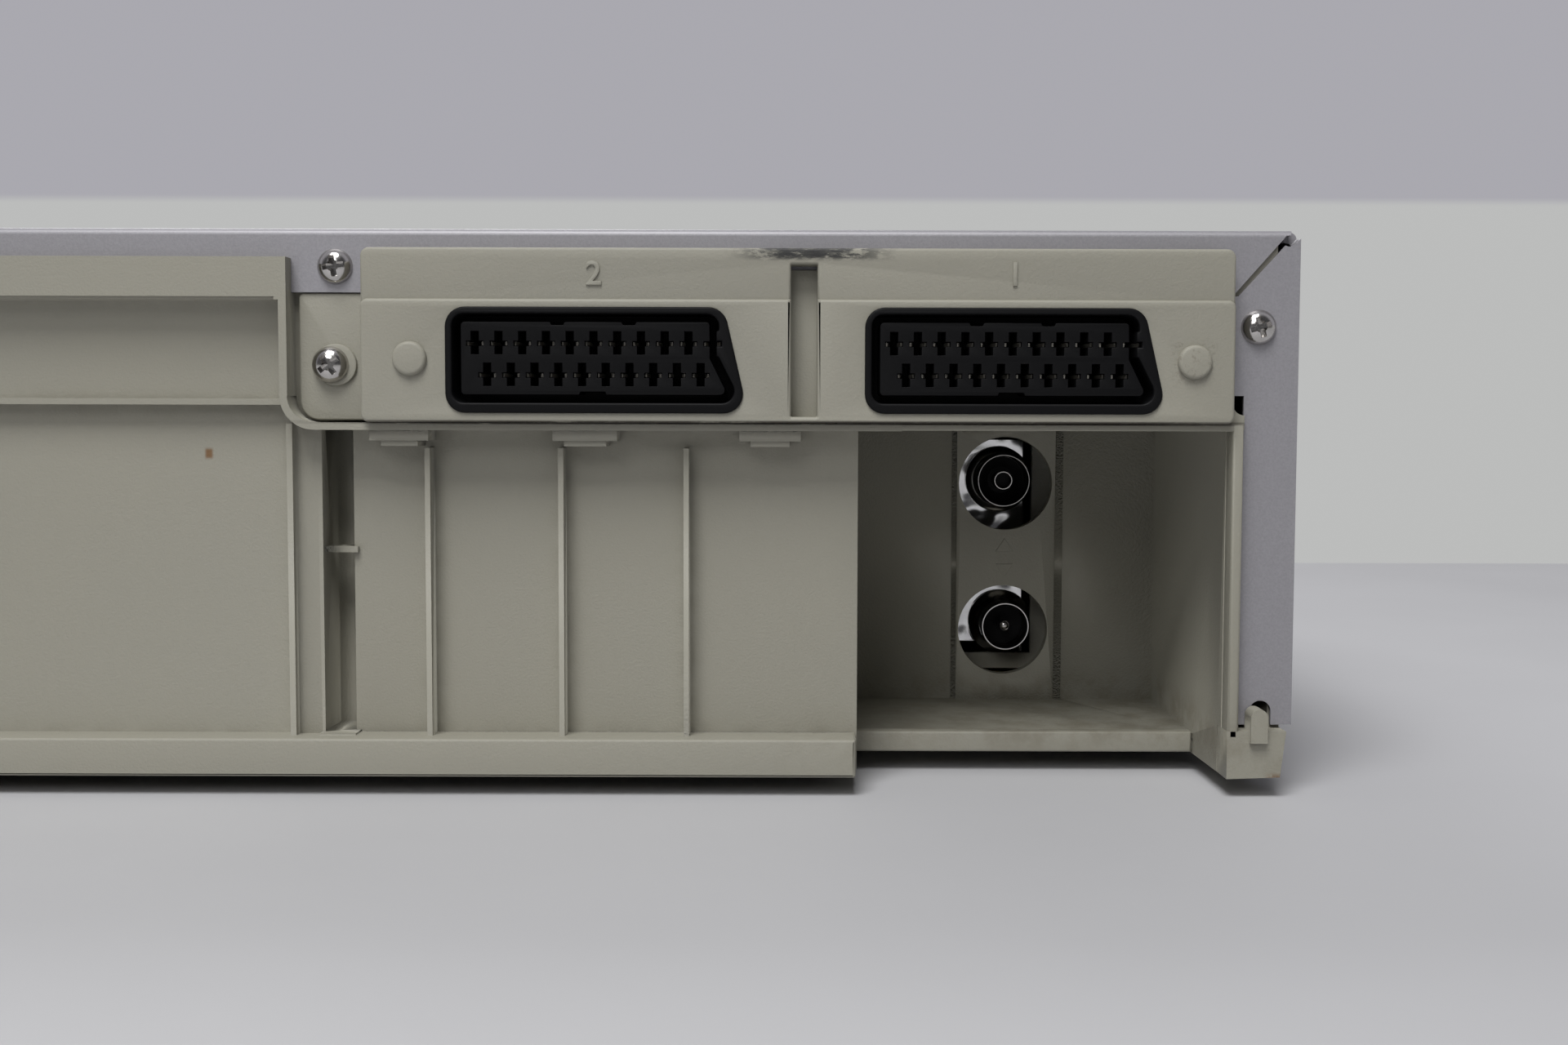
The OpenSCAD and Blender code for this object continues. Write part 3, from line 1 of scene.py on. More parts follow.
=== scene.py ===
import json
import math

import bmesh
import bpy
from mathutils import Matrix, Vector


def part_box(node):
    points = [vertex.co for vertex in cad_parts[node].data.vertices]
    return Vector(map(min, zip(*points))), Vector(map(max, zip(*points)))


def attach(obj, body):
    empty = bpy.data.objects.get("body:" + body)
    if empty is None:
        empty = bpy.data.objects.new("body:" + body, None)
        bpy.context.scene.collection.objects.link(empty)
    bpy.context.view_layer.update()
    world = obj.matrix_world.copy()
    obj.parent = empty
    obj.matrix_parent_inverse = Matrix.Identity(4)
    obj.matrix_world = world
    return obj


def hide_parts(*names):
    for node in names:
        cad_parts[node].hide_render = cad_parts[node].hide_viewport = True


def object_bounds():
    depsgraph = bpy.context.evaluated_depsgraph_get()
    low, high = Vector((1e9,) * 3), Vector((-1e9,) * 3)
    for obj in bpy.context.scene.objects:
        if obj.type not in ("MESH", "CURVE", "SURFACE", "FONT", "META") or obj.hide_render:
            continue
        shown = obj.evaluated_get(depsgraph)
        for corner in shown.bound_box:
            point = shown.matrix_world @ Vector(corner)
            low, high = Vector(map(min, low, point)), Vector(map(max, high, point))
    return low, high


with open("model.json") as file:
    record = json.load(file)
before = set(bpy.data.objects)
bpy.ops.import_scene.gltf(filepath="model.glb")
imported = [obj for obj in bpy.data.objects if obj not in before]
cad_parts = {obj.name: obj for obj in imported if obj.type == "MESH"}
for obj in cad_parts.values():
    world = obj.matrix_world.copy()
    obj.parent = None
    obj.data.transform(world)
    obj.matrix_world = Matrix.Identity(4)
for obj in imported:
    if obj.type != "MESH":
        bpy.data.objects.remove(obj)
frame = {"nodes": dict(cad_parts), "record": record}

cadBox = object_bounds()
mm = 0.001

# the rear flange plane, and the edge that places on the rear are measured from
rear = {"edgeX": -190.0, "width": 380.0, "flangeY": 135.5}

slots = {part["node"]: part["material_slot"] for part in frame["record"]["subparts"]}
bodyOf = {node: body for body, nodes in frame["record"]["behaviour"]["bodies"].items() for node in nodes}


def onRear(across, proud, up):
    return Vector((rear["edgeX"] + across, rear["flangeY"] + proud, up)) * mm


# node graphs, for finishes and for Geometry Nodes

# what a sign such as + does between two wires, or a wire and a number: it adds a Math node
def mathSign(operation, swapped=False):
    def combined(wire, other):
        return wire.maths(operation, other, wire) if swapped else wire.maths(operation, wire, other)
    return combined


# an output of a node
class Wire:
    def __init__(self, graph, socket):
        self.graph = graph
        self.socket = socket

    def maths(self, operation, first, second=0.0):
        return self.graph.node("ShaderNodeMath", {"operation": operation}, {0: first, 1: second})

    __add__ = mathSign("ADD")
    __radd__ = mathSign("ADD", swapped=True)
    __sub__ = mathSign("SUBTRACT")
    __rsub__ = mathSign("SUBTRACT", swapped=True)
    __mul__ = mathSign("MULTIPLY")
    __rmul__ = mathSign("MULTIPLY", swapped=True)
    __truediv__ = mathSign("DIVIDE")
    __pow__ = mathSign("POWER")
    __gt__ = mathSign("GREATER_THAN")
    atMost = mathSign("MINIMUM")
    atLeast = mathSign("MAXIMUM")

    def __abs__(self):
        return self.maths("ABSOLUTE", self)

    # 0 below low, 1 above high, smooth between
    def rise(self, low, high):
        return self.graph.node("ShaderNodeMapRange", {"interpolation_type": "SMOOTHSTEP"},
                               {"Value": self, "From Min": low, "From Max": high})

    # 1 within half a width of the middle, soft at its edges
    def near(self, middle, halfWidth, soft):
        return 1 - abs(self - middle).rise(halfWidth - soft, halfWidth + soft)


class Graph:
    def __init__(self, tree):
        self.tree = tree

    def feed(self, socket, value):
        if isinstance(value, list):
            for item in value:
                self.tree.links.new(item.socket, socket)
        elif isinstance(value, Wire):
            self.tree.links.new(value.socket, socket)
        elif isinstance(value, tuple) and len(value) == 3 and socket.type == "RGBA":
            socket.default_value = (*value, 1)
        else:
            socket.default_value = value

    # any node: its type, its settings, then the values or links of its sockets
    def node(self, kind, settings=None, inputs=None, output=0):
        made = self.tree.nodes.new(kind)
        for key, value in (settings or {}).items():
            setattr(made, key, value)
        for key, value in (inputs or {}).items():
            self.feed(made.inputs[key], value)
        return Wire(self, made.outputs[output])

    def split(self, vector):
        made = self.tree.nodes.new("ShaderNodeSeparateXYZ")
        self.feed(made.inputs[0], vector)
        return [Wire(self, output) for output in made.outputs]

    def join(self, x, y, z):
        return self.node("ShaderNodeCombineXYZ", {}, {0: x, 1: y, 2: z})

    def mix(self, factor, low, high):
        return self.node("ShaderNodeMix", {"data_type": "RGBA"}, {0: factor, 6: low, 7: high}, output=2)

    # what kind of ray is being traced
    def rays(self, *kinds):
        path = self.tree.nodes.new("ShaderNodeLightPath")
        return [Wire(self, path.outputs["Is " + kind + " Ray"]) for kind in kinds]


class Finish(Graph):
    def __init__(self, name, **surface):
        self.material = bpy.data.materials.new(name)
        self.material.use_nodes = True
        Graph.__init__(self, self.material.node_tree)
        self.tree.nodes.clear()
        self.shader = self.tree.nodes.new("ShaderNodeBsdfPrincipled")
        out = self.tree.nodes.new("ShaderNodeOutputMaterial")
        self.tree.links.new(self.shader.outputs[0], out.inputs[0])
        self.put(**surface)

    # sets or links sockets of the main shader; an underscore stands for a space in a name
    def put(self, **surface):
        for name, value in surface.items():
            self.feed(self.shader.inputs[name.replace("_", " ")], value)

    def place(self):
        return self.node("ShaderNodeTexCoord", output="Object")

    def axes(self):
        return self.split(self.place())

    def noise(self, size, detail=2.0, rough=0.5, stretch=None):
        where = self.place()
        if stretch:
            where = self.node("ShaderNodeMapping", {}, {"Vector": where, "Scale": stretch})
        return self.node("ShaderNodeTexNoise", {},
                         {"Vector": where, "Scale": 1 / size, "Detail": detail, "Roughness": rough})

    def bump(self, height, depth, strength=1.0):
        self.put(Normal=self.node("ShaderNodeBump", {},
                                  {"Strength": strength, "Distance": depth, "Height": height}))

    # 1 in narrow corners and under edges, where shade falls, 0 on open faces; it masks painted shade
    def corners(self, reach):
        openness = self.node("ShaderNodeAmbientOcclusion", {"samples": 6, "only_local": True},
                             {"Distance": reach}, output="AO")
        return 1 - openness.rise(0.25, 0.95)


# a Geometry Nodes tree whose named inputs are set where a piece is grown from it
class Grower(Graph):
    def __init__(self, name):
        Graph.__init__(self, bpy.data.node_groups.new(name, "GeometryNodeTree"))
        self.source = self.tree.nodes.new("NodeGroupInput")
        self.sockets = {}
        self.tree.interface.new_socket("Geometry", in_out="OUTPUT", socket_type="NodeSocketGeometry")

    def input(self, name, kind="Float"):
        made = self.tree.interface.new_socket(name, in_out="INPUT", socket_type="NodeSocket" + kind)
        self.sockets[name] = made.identifier
        return Wire(self, self.source.outputs[name])

    def sizes(self, *names):
        return [self.input(name) for name in names]

    # a named value that each point carries
    def carried(self, name, kind="FLOAT"):
        return self.shape("InputNamedAttribute", {"data_type": kind}, Name=name)

    # how a piece stands, turned about its own axis
    def turnedBy(self, stand, angle):
        spin = self.node("FunctionNodeAxisAngleToRotation", {}, {"Axis": (0.0, 0.0, 1.0), "Angle": angle})
        return self.node("FunctionNodeRotateRotation", {"rotation_space": "LOCAL"},
                         {"Rotation": stand, "Rotate By": spin})

    def shape(self, kind, settings=None, **inputs):
        return self.node("GeometryNode" + kind, settings,
                         {name.replace("_", " "): value for name, value in inputs.items()})

    def close(self, geometry, material):
        solid = self.shape("RealizeInstances", Geometry=geometry)
        dressed = self.shape("SetMaterial", Geometry=solid, Material=material)
        out = self.tree.nodes.new("NodeGroupOutput")
        self.tree.links.new(dressed.socket, out.inputs[0])

    def grow(self, name, values, mesh=None):
        piece = newObject(name, mesh or bpy.data.meshes.new(name + "Start"))
        modifier = piece.modifiers.new("grow", "NODES")
        modifier.node_group = self.tree
        for label, value in values.items():
            modifier[self.sockets[label]] = value
        grown = shapedMesh(piece)
        piece.modifiers.clear()
        piece.data = grown
        grown.name = name
        return piece


def newObject(name, data):
    made = bpy.data.objects.new(name, data)
    bpy.context.scene.collection.objects.link(made)
    return made


# the mesh of an object with its modifiers or its curve worked out
def shapedMesh(piece):
    bpy.context.view_layer.update()
    return bpy.data.meshes.new_from_object(piece.evaluated_get(bpy.context.evaluated_depsgraph_get()))


def smoothFaces(mesh, angle=35):
    mesh.polygons.foreach_set("use_smooth", [True] * len(mesh.polygons))
    mesh.set_sharp_from_angle(angle=math.radians(angle))


# a closed surface with its normals outward, written to a mesh
def builtMesh(bm, mesh, angle=None):
    bmesh.ops.recalc_face_normals(bm, faces=bm.faces)
    bm.to_mesh(mesh)
    bm.free()
    if angle:
        smoothFaces(mesh, angle)
    return mesh


# a curve made into a mesh that stands where it belongs
def meshOfCurve(name, curve, place, angle):
    drawn = newObject(name + "Curve", curve)
    mesh = shapedMesh(drawn)
    bpy.data.objects.remove(drawn)
    mesh.name = name
    mesh.transform(place)
    bm = bmesh.new()
    bm.from_mesh(mesh)
    bmesh.ops.remove_doubles(bm, verts=bm.verts, dist=1e-6)
    return builtMesh(bm, mesh, angle)


def movedVerts(made):
    return [item for item in made["geom"] if isinstance(item, bmesh.types.BMVert)]


# finishes

# a colour made darker or lighter, all of it or part by part
def shade(colour, *factors):
    return tuple(min(1, part * factors[i % len(factors)]) for i, part in enumerate(colour))


def mouldedPlastic(name, colour, grainDepth=0.00002, rough=0.55, shine=0.5):
    look = {"grain": 0.0004, "cloud": 0.03, "dark": 0.94, "light": 1.06}
    f = Finish(name, Specular_IOR_Level=shine)
    grain = f.noise(look["grain"], detail=3.0)
    cloud = f.noise(look["cloud"], detail=3.0)
    dark, light = shade(colour, look["dark"]), shade(colour, look["light"])
    f.put(Base_Color=f.mix(cloud * 0.6 + grain * 0.4, dark, light))
    f.put(Roughness=rough - 0.06 + grain * 0.12)
    f.bump(grain, grainDepth)
    return f


# the frame's plastic: fine spark grain, yellowed a little in patches, with painted shade in its corners that
# is broken into patches like dust
def agedPlastic(name, colour, marks=()):
    wearAndShade = {"grain": 0.00042, "depth": 0.00006, "cloud": 0.045, "cool": (0.93, 0.94, 0.94),
            "warm": (1.07, 1.04, 0.97), "cornerReach": 0.0035, "dustAndShade": 0.55, "shadeAndDirt": (0.16, 0.15, 0.115)}
    f = Finish(name)
    x, y, z = f.axes()
    grain = f.noise(wearAndShade["grain"], detail=3.0, rough=0.6)
    cloud = f.noise(wearAndShade["cloud"], detail=4.0)
    tone = f.mix(cloud * 0.5 + grain * 0.5, shade(colour, *wearAndShade["cool"]), shade(colour, *wearAndShade["warm"]))
    # painted shade: occlusion darkens corners and the ground under edges, broken up by noise like dust
    dustAndShade = f.corners(wearAndShade["cornerReach"]) * f.noise(0.004, detail=4.0).rise(0.25, 0.7)
    tone = f.mix(dustAndShade * wearAndShade["dustAndShade"], tone, wearAndShade["shadeAndDirt"])
    for mark in marks:
        here = 1.0
        for axis, middle, half in zip((x, y, z), mark["middle"], mark["half"]):
            here = here * axis.near(middle, half, half * mark["soft"])
        if "streak" in mark:
            here = here * f.noise(mark["streak"], detail=5.0, rough=0.7,
                                  stretch=mark.get("stretch", (1, 1, 1))).rise(*mark["cover"])
        tone = f.mix(here * mark["strength"], tone, mark["colour"])
    f.put(Base_Color=tone)
    f.put(Roughness=0.50 + grain * 0.14)
    f.bump(grain, wearAndShade["depth"])
    return f


def paintedSteel(name, colour):
    paint = {"flake": 0.00036, "cloud": 0.05, "dark": 0.78, "light": 1.22, "shadeAndDirt": (0.10, 0.095, 0.09),
             "depth": 0.000022}
    f = Finish(name, Metallic=0.25)
    flake = f.noise(paint["flake"], detail=2.0, rough=0.7)
    cloud = f.noise(paint["cloud"], detail=2.0)
    tone = f.mix(flake * 0.8 + cloud * 0.2, shade(colour, paint["dark"]), shade(colour, paint["light"]))
    # painted shade: occlusion darkens the paint in corners and under edges
    f.put(Base_Color=f.mix(f.corners(0.002) * 0.35, tone, paint["shadeAndDirt"]))
    f.put(Roughness=0.40 + flake * 0.14)
    f.bump(flake, paint["depth"])
    return f


def metal(name, colour, rough):
    f = Finish(name, Metallic=1.0)
    grain = f.noise(0.0003, detail=3.0)
    f.put(Base_Color=f.mix(grain, shade(colour, 0.8), colour))
    f.put(Roughness=rough - 0.05 + grain * 0.1)
    f.bump(grain, 0.000004)
    return f


# tinned sheet: a mirror that is never quite flat
def tinnedSheet(name):
    tin = {"wave": 0.007, "waveDepth": 0.0012, "spangle": 0.0016, "dark": (0.50, 0.49, 0.48),
           "light": (0.78, 0.78, 0.79)}
    f = Finish(name, Metallic=1.0)
    wave = f.noise(tin["wave"], detail=1.0)
    spangle = f.noise(tin["spangle"], detail=3.0)
    f.put(Base_Color=f.mix(spangle, tin["dark"], tin["light"]))
    f.put(Roughness=0.07 + spangle * 0.10)
    f.bump(wave, tin["waveDepth"], strength=0.8)
    return f


# a board of brown paper laminate: faint tracks show through its lacquer
def circuitBoard(name, colour):
    track = {"density": 160.0, "edge": (0.02, 0.05), "colour": (0.10, 0.16, 0.05), "depth": 0.00003}
    f = Finish(name)
    tracks = f.node("ShaderNodeTexVoronoi", {"feature": "DISTANCE_TO_EDGE"},
                    {"Vector": f.place(), "Scale": track["density"]})
    mask = tracks.rise(*track["edge"])
    fibre = f.noise(0.0008, detail=3.0)
    f.put(Base_Color=f.mix(mask, track["colour"], colour))
    f.put(Roughness=0.42 + fibre * 0.2)
    f.bump(mask, track["depth"])
    return f


# smoked acrylic with a polish that has a few fine scratches
def smokedAcrylic(name, colour):
    f = Finish(name, Base_Color=colour, Transmission_Weight=1.0, IOR=1.49)
    scratch = f.noise(0.0006, detail=4.0, stretch=(1.0, 1.0, 14.0))
    f.put(Roughness=0.03 + scratch.rise(0.55, 0.8) * 0.12)
    return f


def glow(name, colour, strength):
    f = Finish(name, Base_Color=(0.01, 0.02, 0.02), Roughness=0.4, Emission_Strength=strength)
    flicker = f.noise(0.0009, detail=1.0)
    f.put(Emission_Color=f.mix(flicker, shade(colour, 0.8), colour))
    return f


# marks of age, and a painted shadow along the seam under the terminal cover: where they are, how far they
# reach, and how their edges break up
beige = (0.288, 0.280, 0.240)
# painted shadow: a thin dark line in the seam between the terminal cover and the lip below it
seamShadow = {"middle": (-0.108, 0.1385, 0.06118), "half": (0.0712, 0.0065, 0.0003), "soft": 0.3,
            "streak": 0.006, "cover": (0.2, 0.5), "colour": (0.035, 0.028, 0.02), "strength": 0.9}
frameMarks = (
    seamShadow,
    {"middle": (-0.0105, 0.1325, 0.0559), "half": (0.0006, 0.002, 0.0008), "soft": 0.5,
     "colour": (0.16, 0.075, 0.02), "strength": 0.9},
    {"middle": (-0.1865, 0.139, 0.0032), "half": (0.0012, 0.004, 0.0006), "soft": 0.8, "streak": 0.0012,
     "cover": (0.40, 0.55), "colour": (0.15, 0.075, 0.03), "strength": 0.8},
    {"middle": (-0.17, 0.10, 0.008), "half": (0.05, 0.06, 0.004), "soft": 0.8, "streak": 0.006,
     "cover": (0.35, 0.7), "colour": (0.14, 0.12, 0.08), "strength": 0.5},
)
coverMarks = (
    seamShadow,
    {"middle": (-0.1105, 0.1415, 0.0885), "half": (0.0105, 0.004, 0.0011), "soft": 0.45, "streak": 0.0022,
     "cover": (0.40, 0.56), "stretch": (1, 1, 3.0), "colour": (0.02, 0.02, 0.02), "strength": 0.92},
    {"middle": (-0.109, 0.1415, 0.0884), "half": (0.0055, 0.004, 0.0008), "soft": 0.5, "streak": 0.0016,
     "cover": (0.30, 0.45), "stretch": (1, 1, 3.0), "colour": (0.012, 0.012, 0.012), "strength": 0.95},
    {"middle": (-0.1717, 0.142, 0.0711), "half": (0.0034, 0.003, 0.0034), "soft": 0.3, "streak": 0.0009,
     "cover": (0.52, 0.62), "colour": (0.15, 0.13, 0.10), "strength": 0.4},
)
finishes = {
    "cover_paint": paintedSteel("coverPaint", (0.295, 0.288, 0.307)),
    "frame_plastic": agedPlastic("framePlastic", beige, frameMarks),
    "zinc_steel": metal("zincSteel", (0.62, 0.63, 0.64), 0.35),
    "foot_rubber": mouldedPlastic("footRubber", (0.03, 0.03, 0.03), rough=0.8),
    "socket_plastic": mouldedPlastic("socketPlastic", (0.0045, 0.0045, 0.005), rough=0.5,
                                     grainDepth=0.000006, shine=0.12),
    "nickel": metal("nickelPlate", (0.60, 0.58, 0.56), 0.17),
    "board": circuitBoard("circuitBoard", (0.34, 0.24, 0.10)),
    "tinplate": tinnedSheet("tinplate"),
    "coil_copper": metal("coilCopper", (0.65, 0.32, 0.15), 0.3),
    "coil_tape": mouldedPlastic("coilTape", (0.75, 0.62, 0.12), rough=0.4),
    "capacitor_sleeve": mouldedPlastic("capacitorSleeve", (0.03, 0.04, 0.10), rough=0.3),
    "black_aluminium": metal("blackAluminium", (0.06, 0.06, 0.06), 0.4),
    "panel_plastic": mouldedPlastic("panelPlastic", (0.40, 0.41, 0.44), rough=0.42, grainDepth=0.000008),
    "window_smoke": smokedAcrylic("windowSmoke", (0.18, 0.17, 0.18)),
    "drum_aluminium": metal("drumAluminium", (0.78, 0.78, 0.79), 0.22),
    "bearing_brass": metal("bearingBrass", (0.7, 0.55, 0.25), 0.3),
    "ground_steel": metal("groundSteel", (0.68, 0.68, 0.69), 0.2),
    "gear_plastic": mouldedPlastic("gearPlastic", (0.78, 0.77, 0.70), rough=0.4),
    "button_plastic": mouldedPlastic("buttonPlastic", (0.36, 0.37, 0.40), rough=0.38, grainDepth=0.000006),
    "record_red": mouldedPlastic("recordRed", (0.40, 0.03, 0.02), rough=0.38),
}
finishes = {slot: finish.material for slot, finish in finishes.items()}
terminalPlastic = agedPlastic("terminalCoverPlastic", beige, coverMarks).material
contactTin = metal("contactTin", (0.80, 0.76, 0.68), 0.42).material
displayGlass = mouldedPlastic("displayGlass", (0.02, 0.035, 0.035), rough=0.15, grainDepth=0.0).material
displayGlow = glow("displayGlow", (0.10, 0.95, 0.75), 2.2).material
keyPrint = mouldedPlastic("keyPrint", (0.03, 0.03, 0.035), rough=0.5).material
for nodeName, cadNode in frame["nodes"].items():
    cadNode.data.materials.clear()
    cadNode.data.materials.append(finishes[slots[nodeName]])
frame["nodes"]["display_tube"].data.materials[0] = displayGlass
print("finishes on", len(frame["nodes"]), "nodes")


# floor, light and camera

room = {"band": (0.50, 0.505, 0.50), "wall": (0.40, 0.395, 0.43), "bandTop": 0.1263,
        "behindCamera": (0.07, 0.07, 0.074), "light": 0.085, "lightColour": (0.96, 0.96, 1.0),
        "table": ((0.475, 0.475, 0.49), (0.53, 0.53, 0.545)), "tableEnd": -0.32, "fade": (0.55, 1.6)}


# a table whose far end runs into the pale board that stands behind the machine
def makeFloor():
    bm = bmesh.new()
    bmesh.ops.create_circle(bm, cap_ends=True, segments=96, radius=12.0)
    mesh = bpy.data.meshes.new("floor")
    bm.to_mesh(mesh)
    bm.free()
    floor = newObject("floor", mesh)
    floor.location.z = cadBox[0].z - 0.0002
    f = Finish("floorFinish", Roughness=0.6)
    cloud = f.noise(0.08, detail=4.0)
    f.put(Base_Color=f.mix(cloud, *room["table"]))
    cameraRay, glossyRay = f.rays("Camera", "Glossy")
    x, y = f.axes()[:2]
    distance = (x * x + y * y) ** 0.5
    beyond = distance.rise(*room["fade"]).atLeast(1 - y.rise(room["tableEnd"] - 0.006, room["tableEnd"]))
    board = f.node("ShaderNodeEmission", {}, {"Color": room["band"], "Strength": 1.0})
    table = Wire(f, f.shader.outputs[0])
    blend = f.node("ShaderNodeMixShader", {}, {0: beyond * (cameraRay + glossyRay), 1: table, 2: board})
    out = next(made for made in f.tree.nodes if made.type == "OUTPUT_MATERIAL")
    f.tree.links.new(blend.socket, out.inputs[0])
    mesh.materials.append(f.material)


def makeLight(name, energy, size, place, target):
    lamp = bpy.data.lights.new(name, "AREA")
    lamp.energy = energy
    lamp.size = size
    lampObject = newObject(name, lamp)
    lampObject.location = place
    lampObject.rotation_euler = (Vector(target) - Vector(place)).to_track_quat("-Z", "Y").to_euler()


# soft light from all round, and what the camera and shiny surfaces see behind the machine
def makeWorld():
    world = bpy.data.worlds.new("studio")
    bpy.context.scene.world = world
    world.use_nodes = True
    f = Graph(world.node_tree)
    f.tree.nodes.clear()
    x, y, z = f.split(f.node("ShaderNodeTexCoord", output="Generated"))
    height = z / abs(x).atLeast(abs(y))
    cameraRay, glossyRay, clearRay = f.rays("Camera", "Glossy", "Transmission")
    wall = f.mix(height.rise(room["bandTop"] - 0.003, room["bandTop"] + 0.003), room["band"], room["wall"])
    dim = f.mix(y.rise(0.2, 0.6), wall, room["behindCamera"])
    seen = f.mix(glossyRay, wall, dim)
    lamp = f.node("ShaderNodeBackground", {}, {"Color": room["lightColour"], "Strength": room["light"]})
    view = f.node("ShaderNodeBackground", {}, {"Color": seen, "Strength": 1.0})
    blend = f.node("ShaderNodeMixShader", {}, {0: cameraRay + glossyRay + clearRay, 1: lamp, 2: view})
    out = f.tree.nodes.new("ShaderNodeOutputWorld")
    f.tree.links.new(blend.socket, out.inputs[0])


def makeCamera():
    photo = {"focalPixels": 2091.0, "widthPixels": 1920.0, "pitch": 3.5, "roll": 0.15,
             "across": 84.1, "height": 62.0, "behind": 280.4}
    camera = bpy.data.cameras.new("photoCamera")
    camera.sensor_width = 36.0
    camera.lens = camera.sensor_width * photo["focalPixels"] / photo["widthPixels"]
    camera.clip_start = 0.01
    cameraObject = newObject("photoCamera", camera)
    tilt = Matrix.Rotation(math.radians(90 - photo["pitch"]), 4, "X")
    turn = Matrix.Rotation(math.radians(180), 4, "Z")
    roll = Matrix.Rotation(math.radians(photo["roll"]), 4, "Z")
    where = onRear(photo["across"], photo["behind"], photo["height"])
    cameraObject.matrix_world = Matrix.Translation(where) @ turn @ tilt @ roll
    bpy.context.scene.camera = cameraObject


makeFloor()
makeWorld()
# power, size, place and what it points at
makeLight("keyLight", 25.6, 0.8, (0.15, 0.95, 1.45), (0, 0.05, 0.04))
makeLight("lowLight", 6.0, 0.7, (0.42, 1.85, 1.0), (0, 0.1, 0.04))
makeLight("frontLight", 13.0, 0.9, (0.4, -1.3, 1.2), (0, 0, 0.04))
makeCamera()
bpy.context.scene.view_settings.view_transform = "Standard"
print("stage and camera made")


# pieces

# puts a piece on its body, in the finish of its record slot or the one given, in place of the CAD nodes it
# stands for
def carry(piece, slot, material=None, stands=(), body="chassis"):
    if material or not piece.data.materials:
        piece.data.materials.clear()
        piece.data.materials.append(material or finishes[slot])
    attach(piece, body)
    if stands:
        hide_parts(*stands)
    return piece


# the points of a closed outline whose corners are (across, up, radius), in millimetres
def roundedCorners(corners):
    steps = 8
    points = []
    for number, (across, up, radius) in enumerate(corners):
        here = Vector((across, up))
        before = (Vector(corners[number - 1][:2]) - here).normalized()
        after = (Vector(corners[(number + 1) % len(corners)][:2]) - here).normalized()
        if not radius:
            points.append(here)
            continue
        half = before.angle(after) / 2
        centre = here + (before + after).normalized() * radius / math.sin(half)
        start = here + before * radius / math.tan(half) - centre
        turn = math.pi - 2 * half
        if before.x * after.y - before.y * after.x > 0:
            turn = -turn
        points += [centre + Matrix.Rotation(turn * step / steps, 2) @ start for step in range(steps + 1)]
    return points


def boxCorners(right, left, low, high, radius=0):
    return [(left, high, radius), (right, high, radius), (right, low, radius), (left, low, radius)]


# points measured from the edge of the rear, moved to where the rear stands
def placed(points, shift=0):
    return [Vector((rear["edgeX"] + shift + point[0], point[1])) for point in points]


# a plate that stands against the rear: its edge, the holes in it, how far it reaches from the flange plane
# and how soft its edges are
def standingPlate(name, outlines, low, high, soft):
    curve = bpy.data.curves.new(name, "CURVE")
    curve.dimensions = "2D"
    curve.fill_mode = "BOTH"
    for number, outline in enumerate(outlines):
        area = sum(a.x * b.y - b.x * a.y for a, b in zip(outline, outline[1:] + outline[:1]))
        if (area > 0) == (number > 0):
            outline = outline[::-1]
        spline = curve.splines.new("POLY")
        spline.points.add(len(outline) - 1)
        for point, place in zip(spline.points, outline):
            point.co = (place.x * mm, place.y * mm, 0, 1)
        spline.use_cyclic_u = True
    curve.extrude = ((high - low) / 2 - soft) * mm
    curve.bevel_depth = soft * mm
    curve.bevel_resolution = 2
    curve.offset = -soft * mm
    middle = Matrix.Translation((0, (rear["flangeY"] + (high + low) / 2) * mm, 0))
    return newObject(name, meshOfCurve(name, curve, middle @ Matrix.Rotation(math.radians(90), 4, "X"), 50))


def mergeFaces(bm):
    bmesh.ops.remove_doubles(bm, verts=bm.verts, dist=1e-6)
    bmesh.ops.dissolve_limit(bm, angle_limit=math.radians(1), verts=bm.verts, edges=bm.edges)


# a copy of a CAD node's mesh, merged, its flat faces joined, its edges rounded
def roundedCopy(nodeName, width, reshape=None, cuts=()):
    sharp = math.radians(32)
    mesh = frame["nodes"][nodeName].data.copy()
    mesh.name = nodeName + "Rounded"
    bm = bmesh.new()
    bm.from_mesh(mesh)
    for vert in bm.verts if reshape else ():
        x, y, z = vert.co
        vert.co = onRear(*reshape(x / mm - rear["edgeX"], y / mm - rear["flangeY"], z / mm))
    mergeFaces(bm)
    bm.to_mesh(mesh)
    piece = newObject(nodeName + "Rounded", mesh)
    if cuts:
        for cut in cuts:
            modifier = piece.modifiers.new("cut", "BOOLEAN")
            modifier.operation = "DIFFERENCE"
            modifier.solver = "EXACT"
            modifier.object = cut
        carved = shapedMesh(piece)
        piece.modifiers.clear()
        bm.clear()
        bm.from_mesh(carved)
        mergeFaces(bm)
        for cut in cuts:
            bpy.data.objects.remove(cut)
    # thin webs and short steps get less rounding, so that it never eats them
    weight = bm.edges.layers.float.new("bevel_weight_edge")
    for edge in bm.edges:
        if len(edge.link_faces) == 2 and edge.is_convex and edge.calc_face_angle(0) > sharp:
            start, along = edge.verts[0].co, (edge.verts[1].co - edge.verts[0].co).normalized()
            beside = min(max(((vert.co - start).cross(along)).length for vert in face.verts)
                         for face in edge.link_faces)
            edge[weight] = min(1.0, 0.42 * beside / width)
    bm.to_mesh(mesh)
    bm.free()
    bevel = piece.modifiers.new("edges", "BEVEL")
    bevel.width = width
    bevel.segments = 2
    bevel.limit_method = "WEIGHT"
    mesh.polygons.foreach_set("use_smooth", [True] * len(mesh.polygons))
    flat = piece.modifiers.new("flatFaces", "WEIGHTED_NORMAL")
    flat.keep_sharp = True
    carry(piece, slots[nodeName], stands=(nodeName,), body=bodyOf[nodeName])


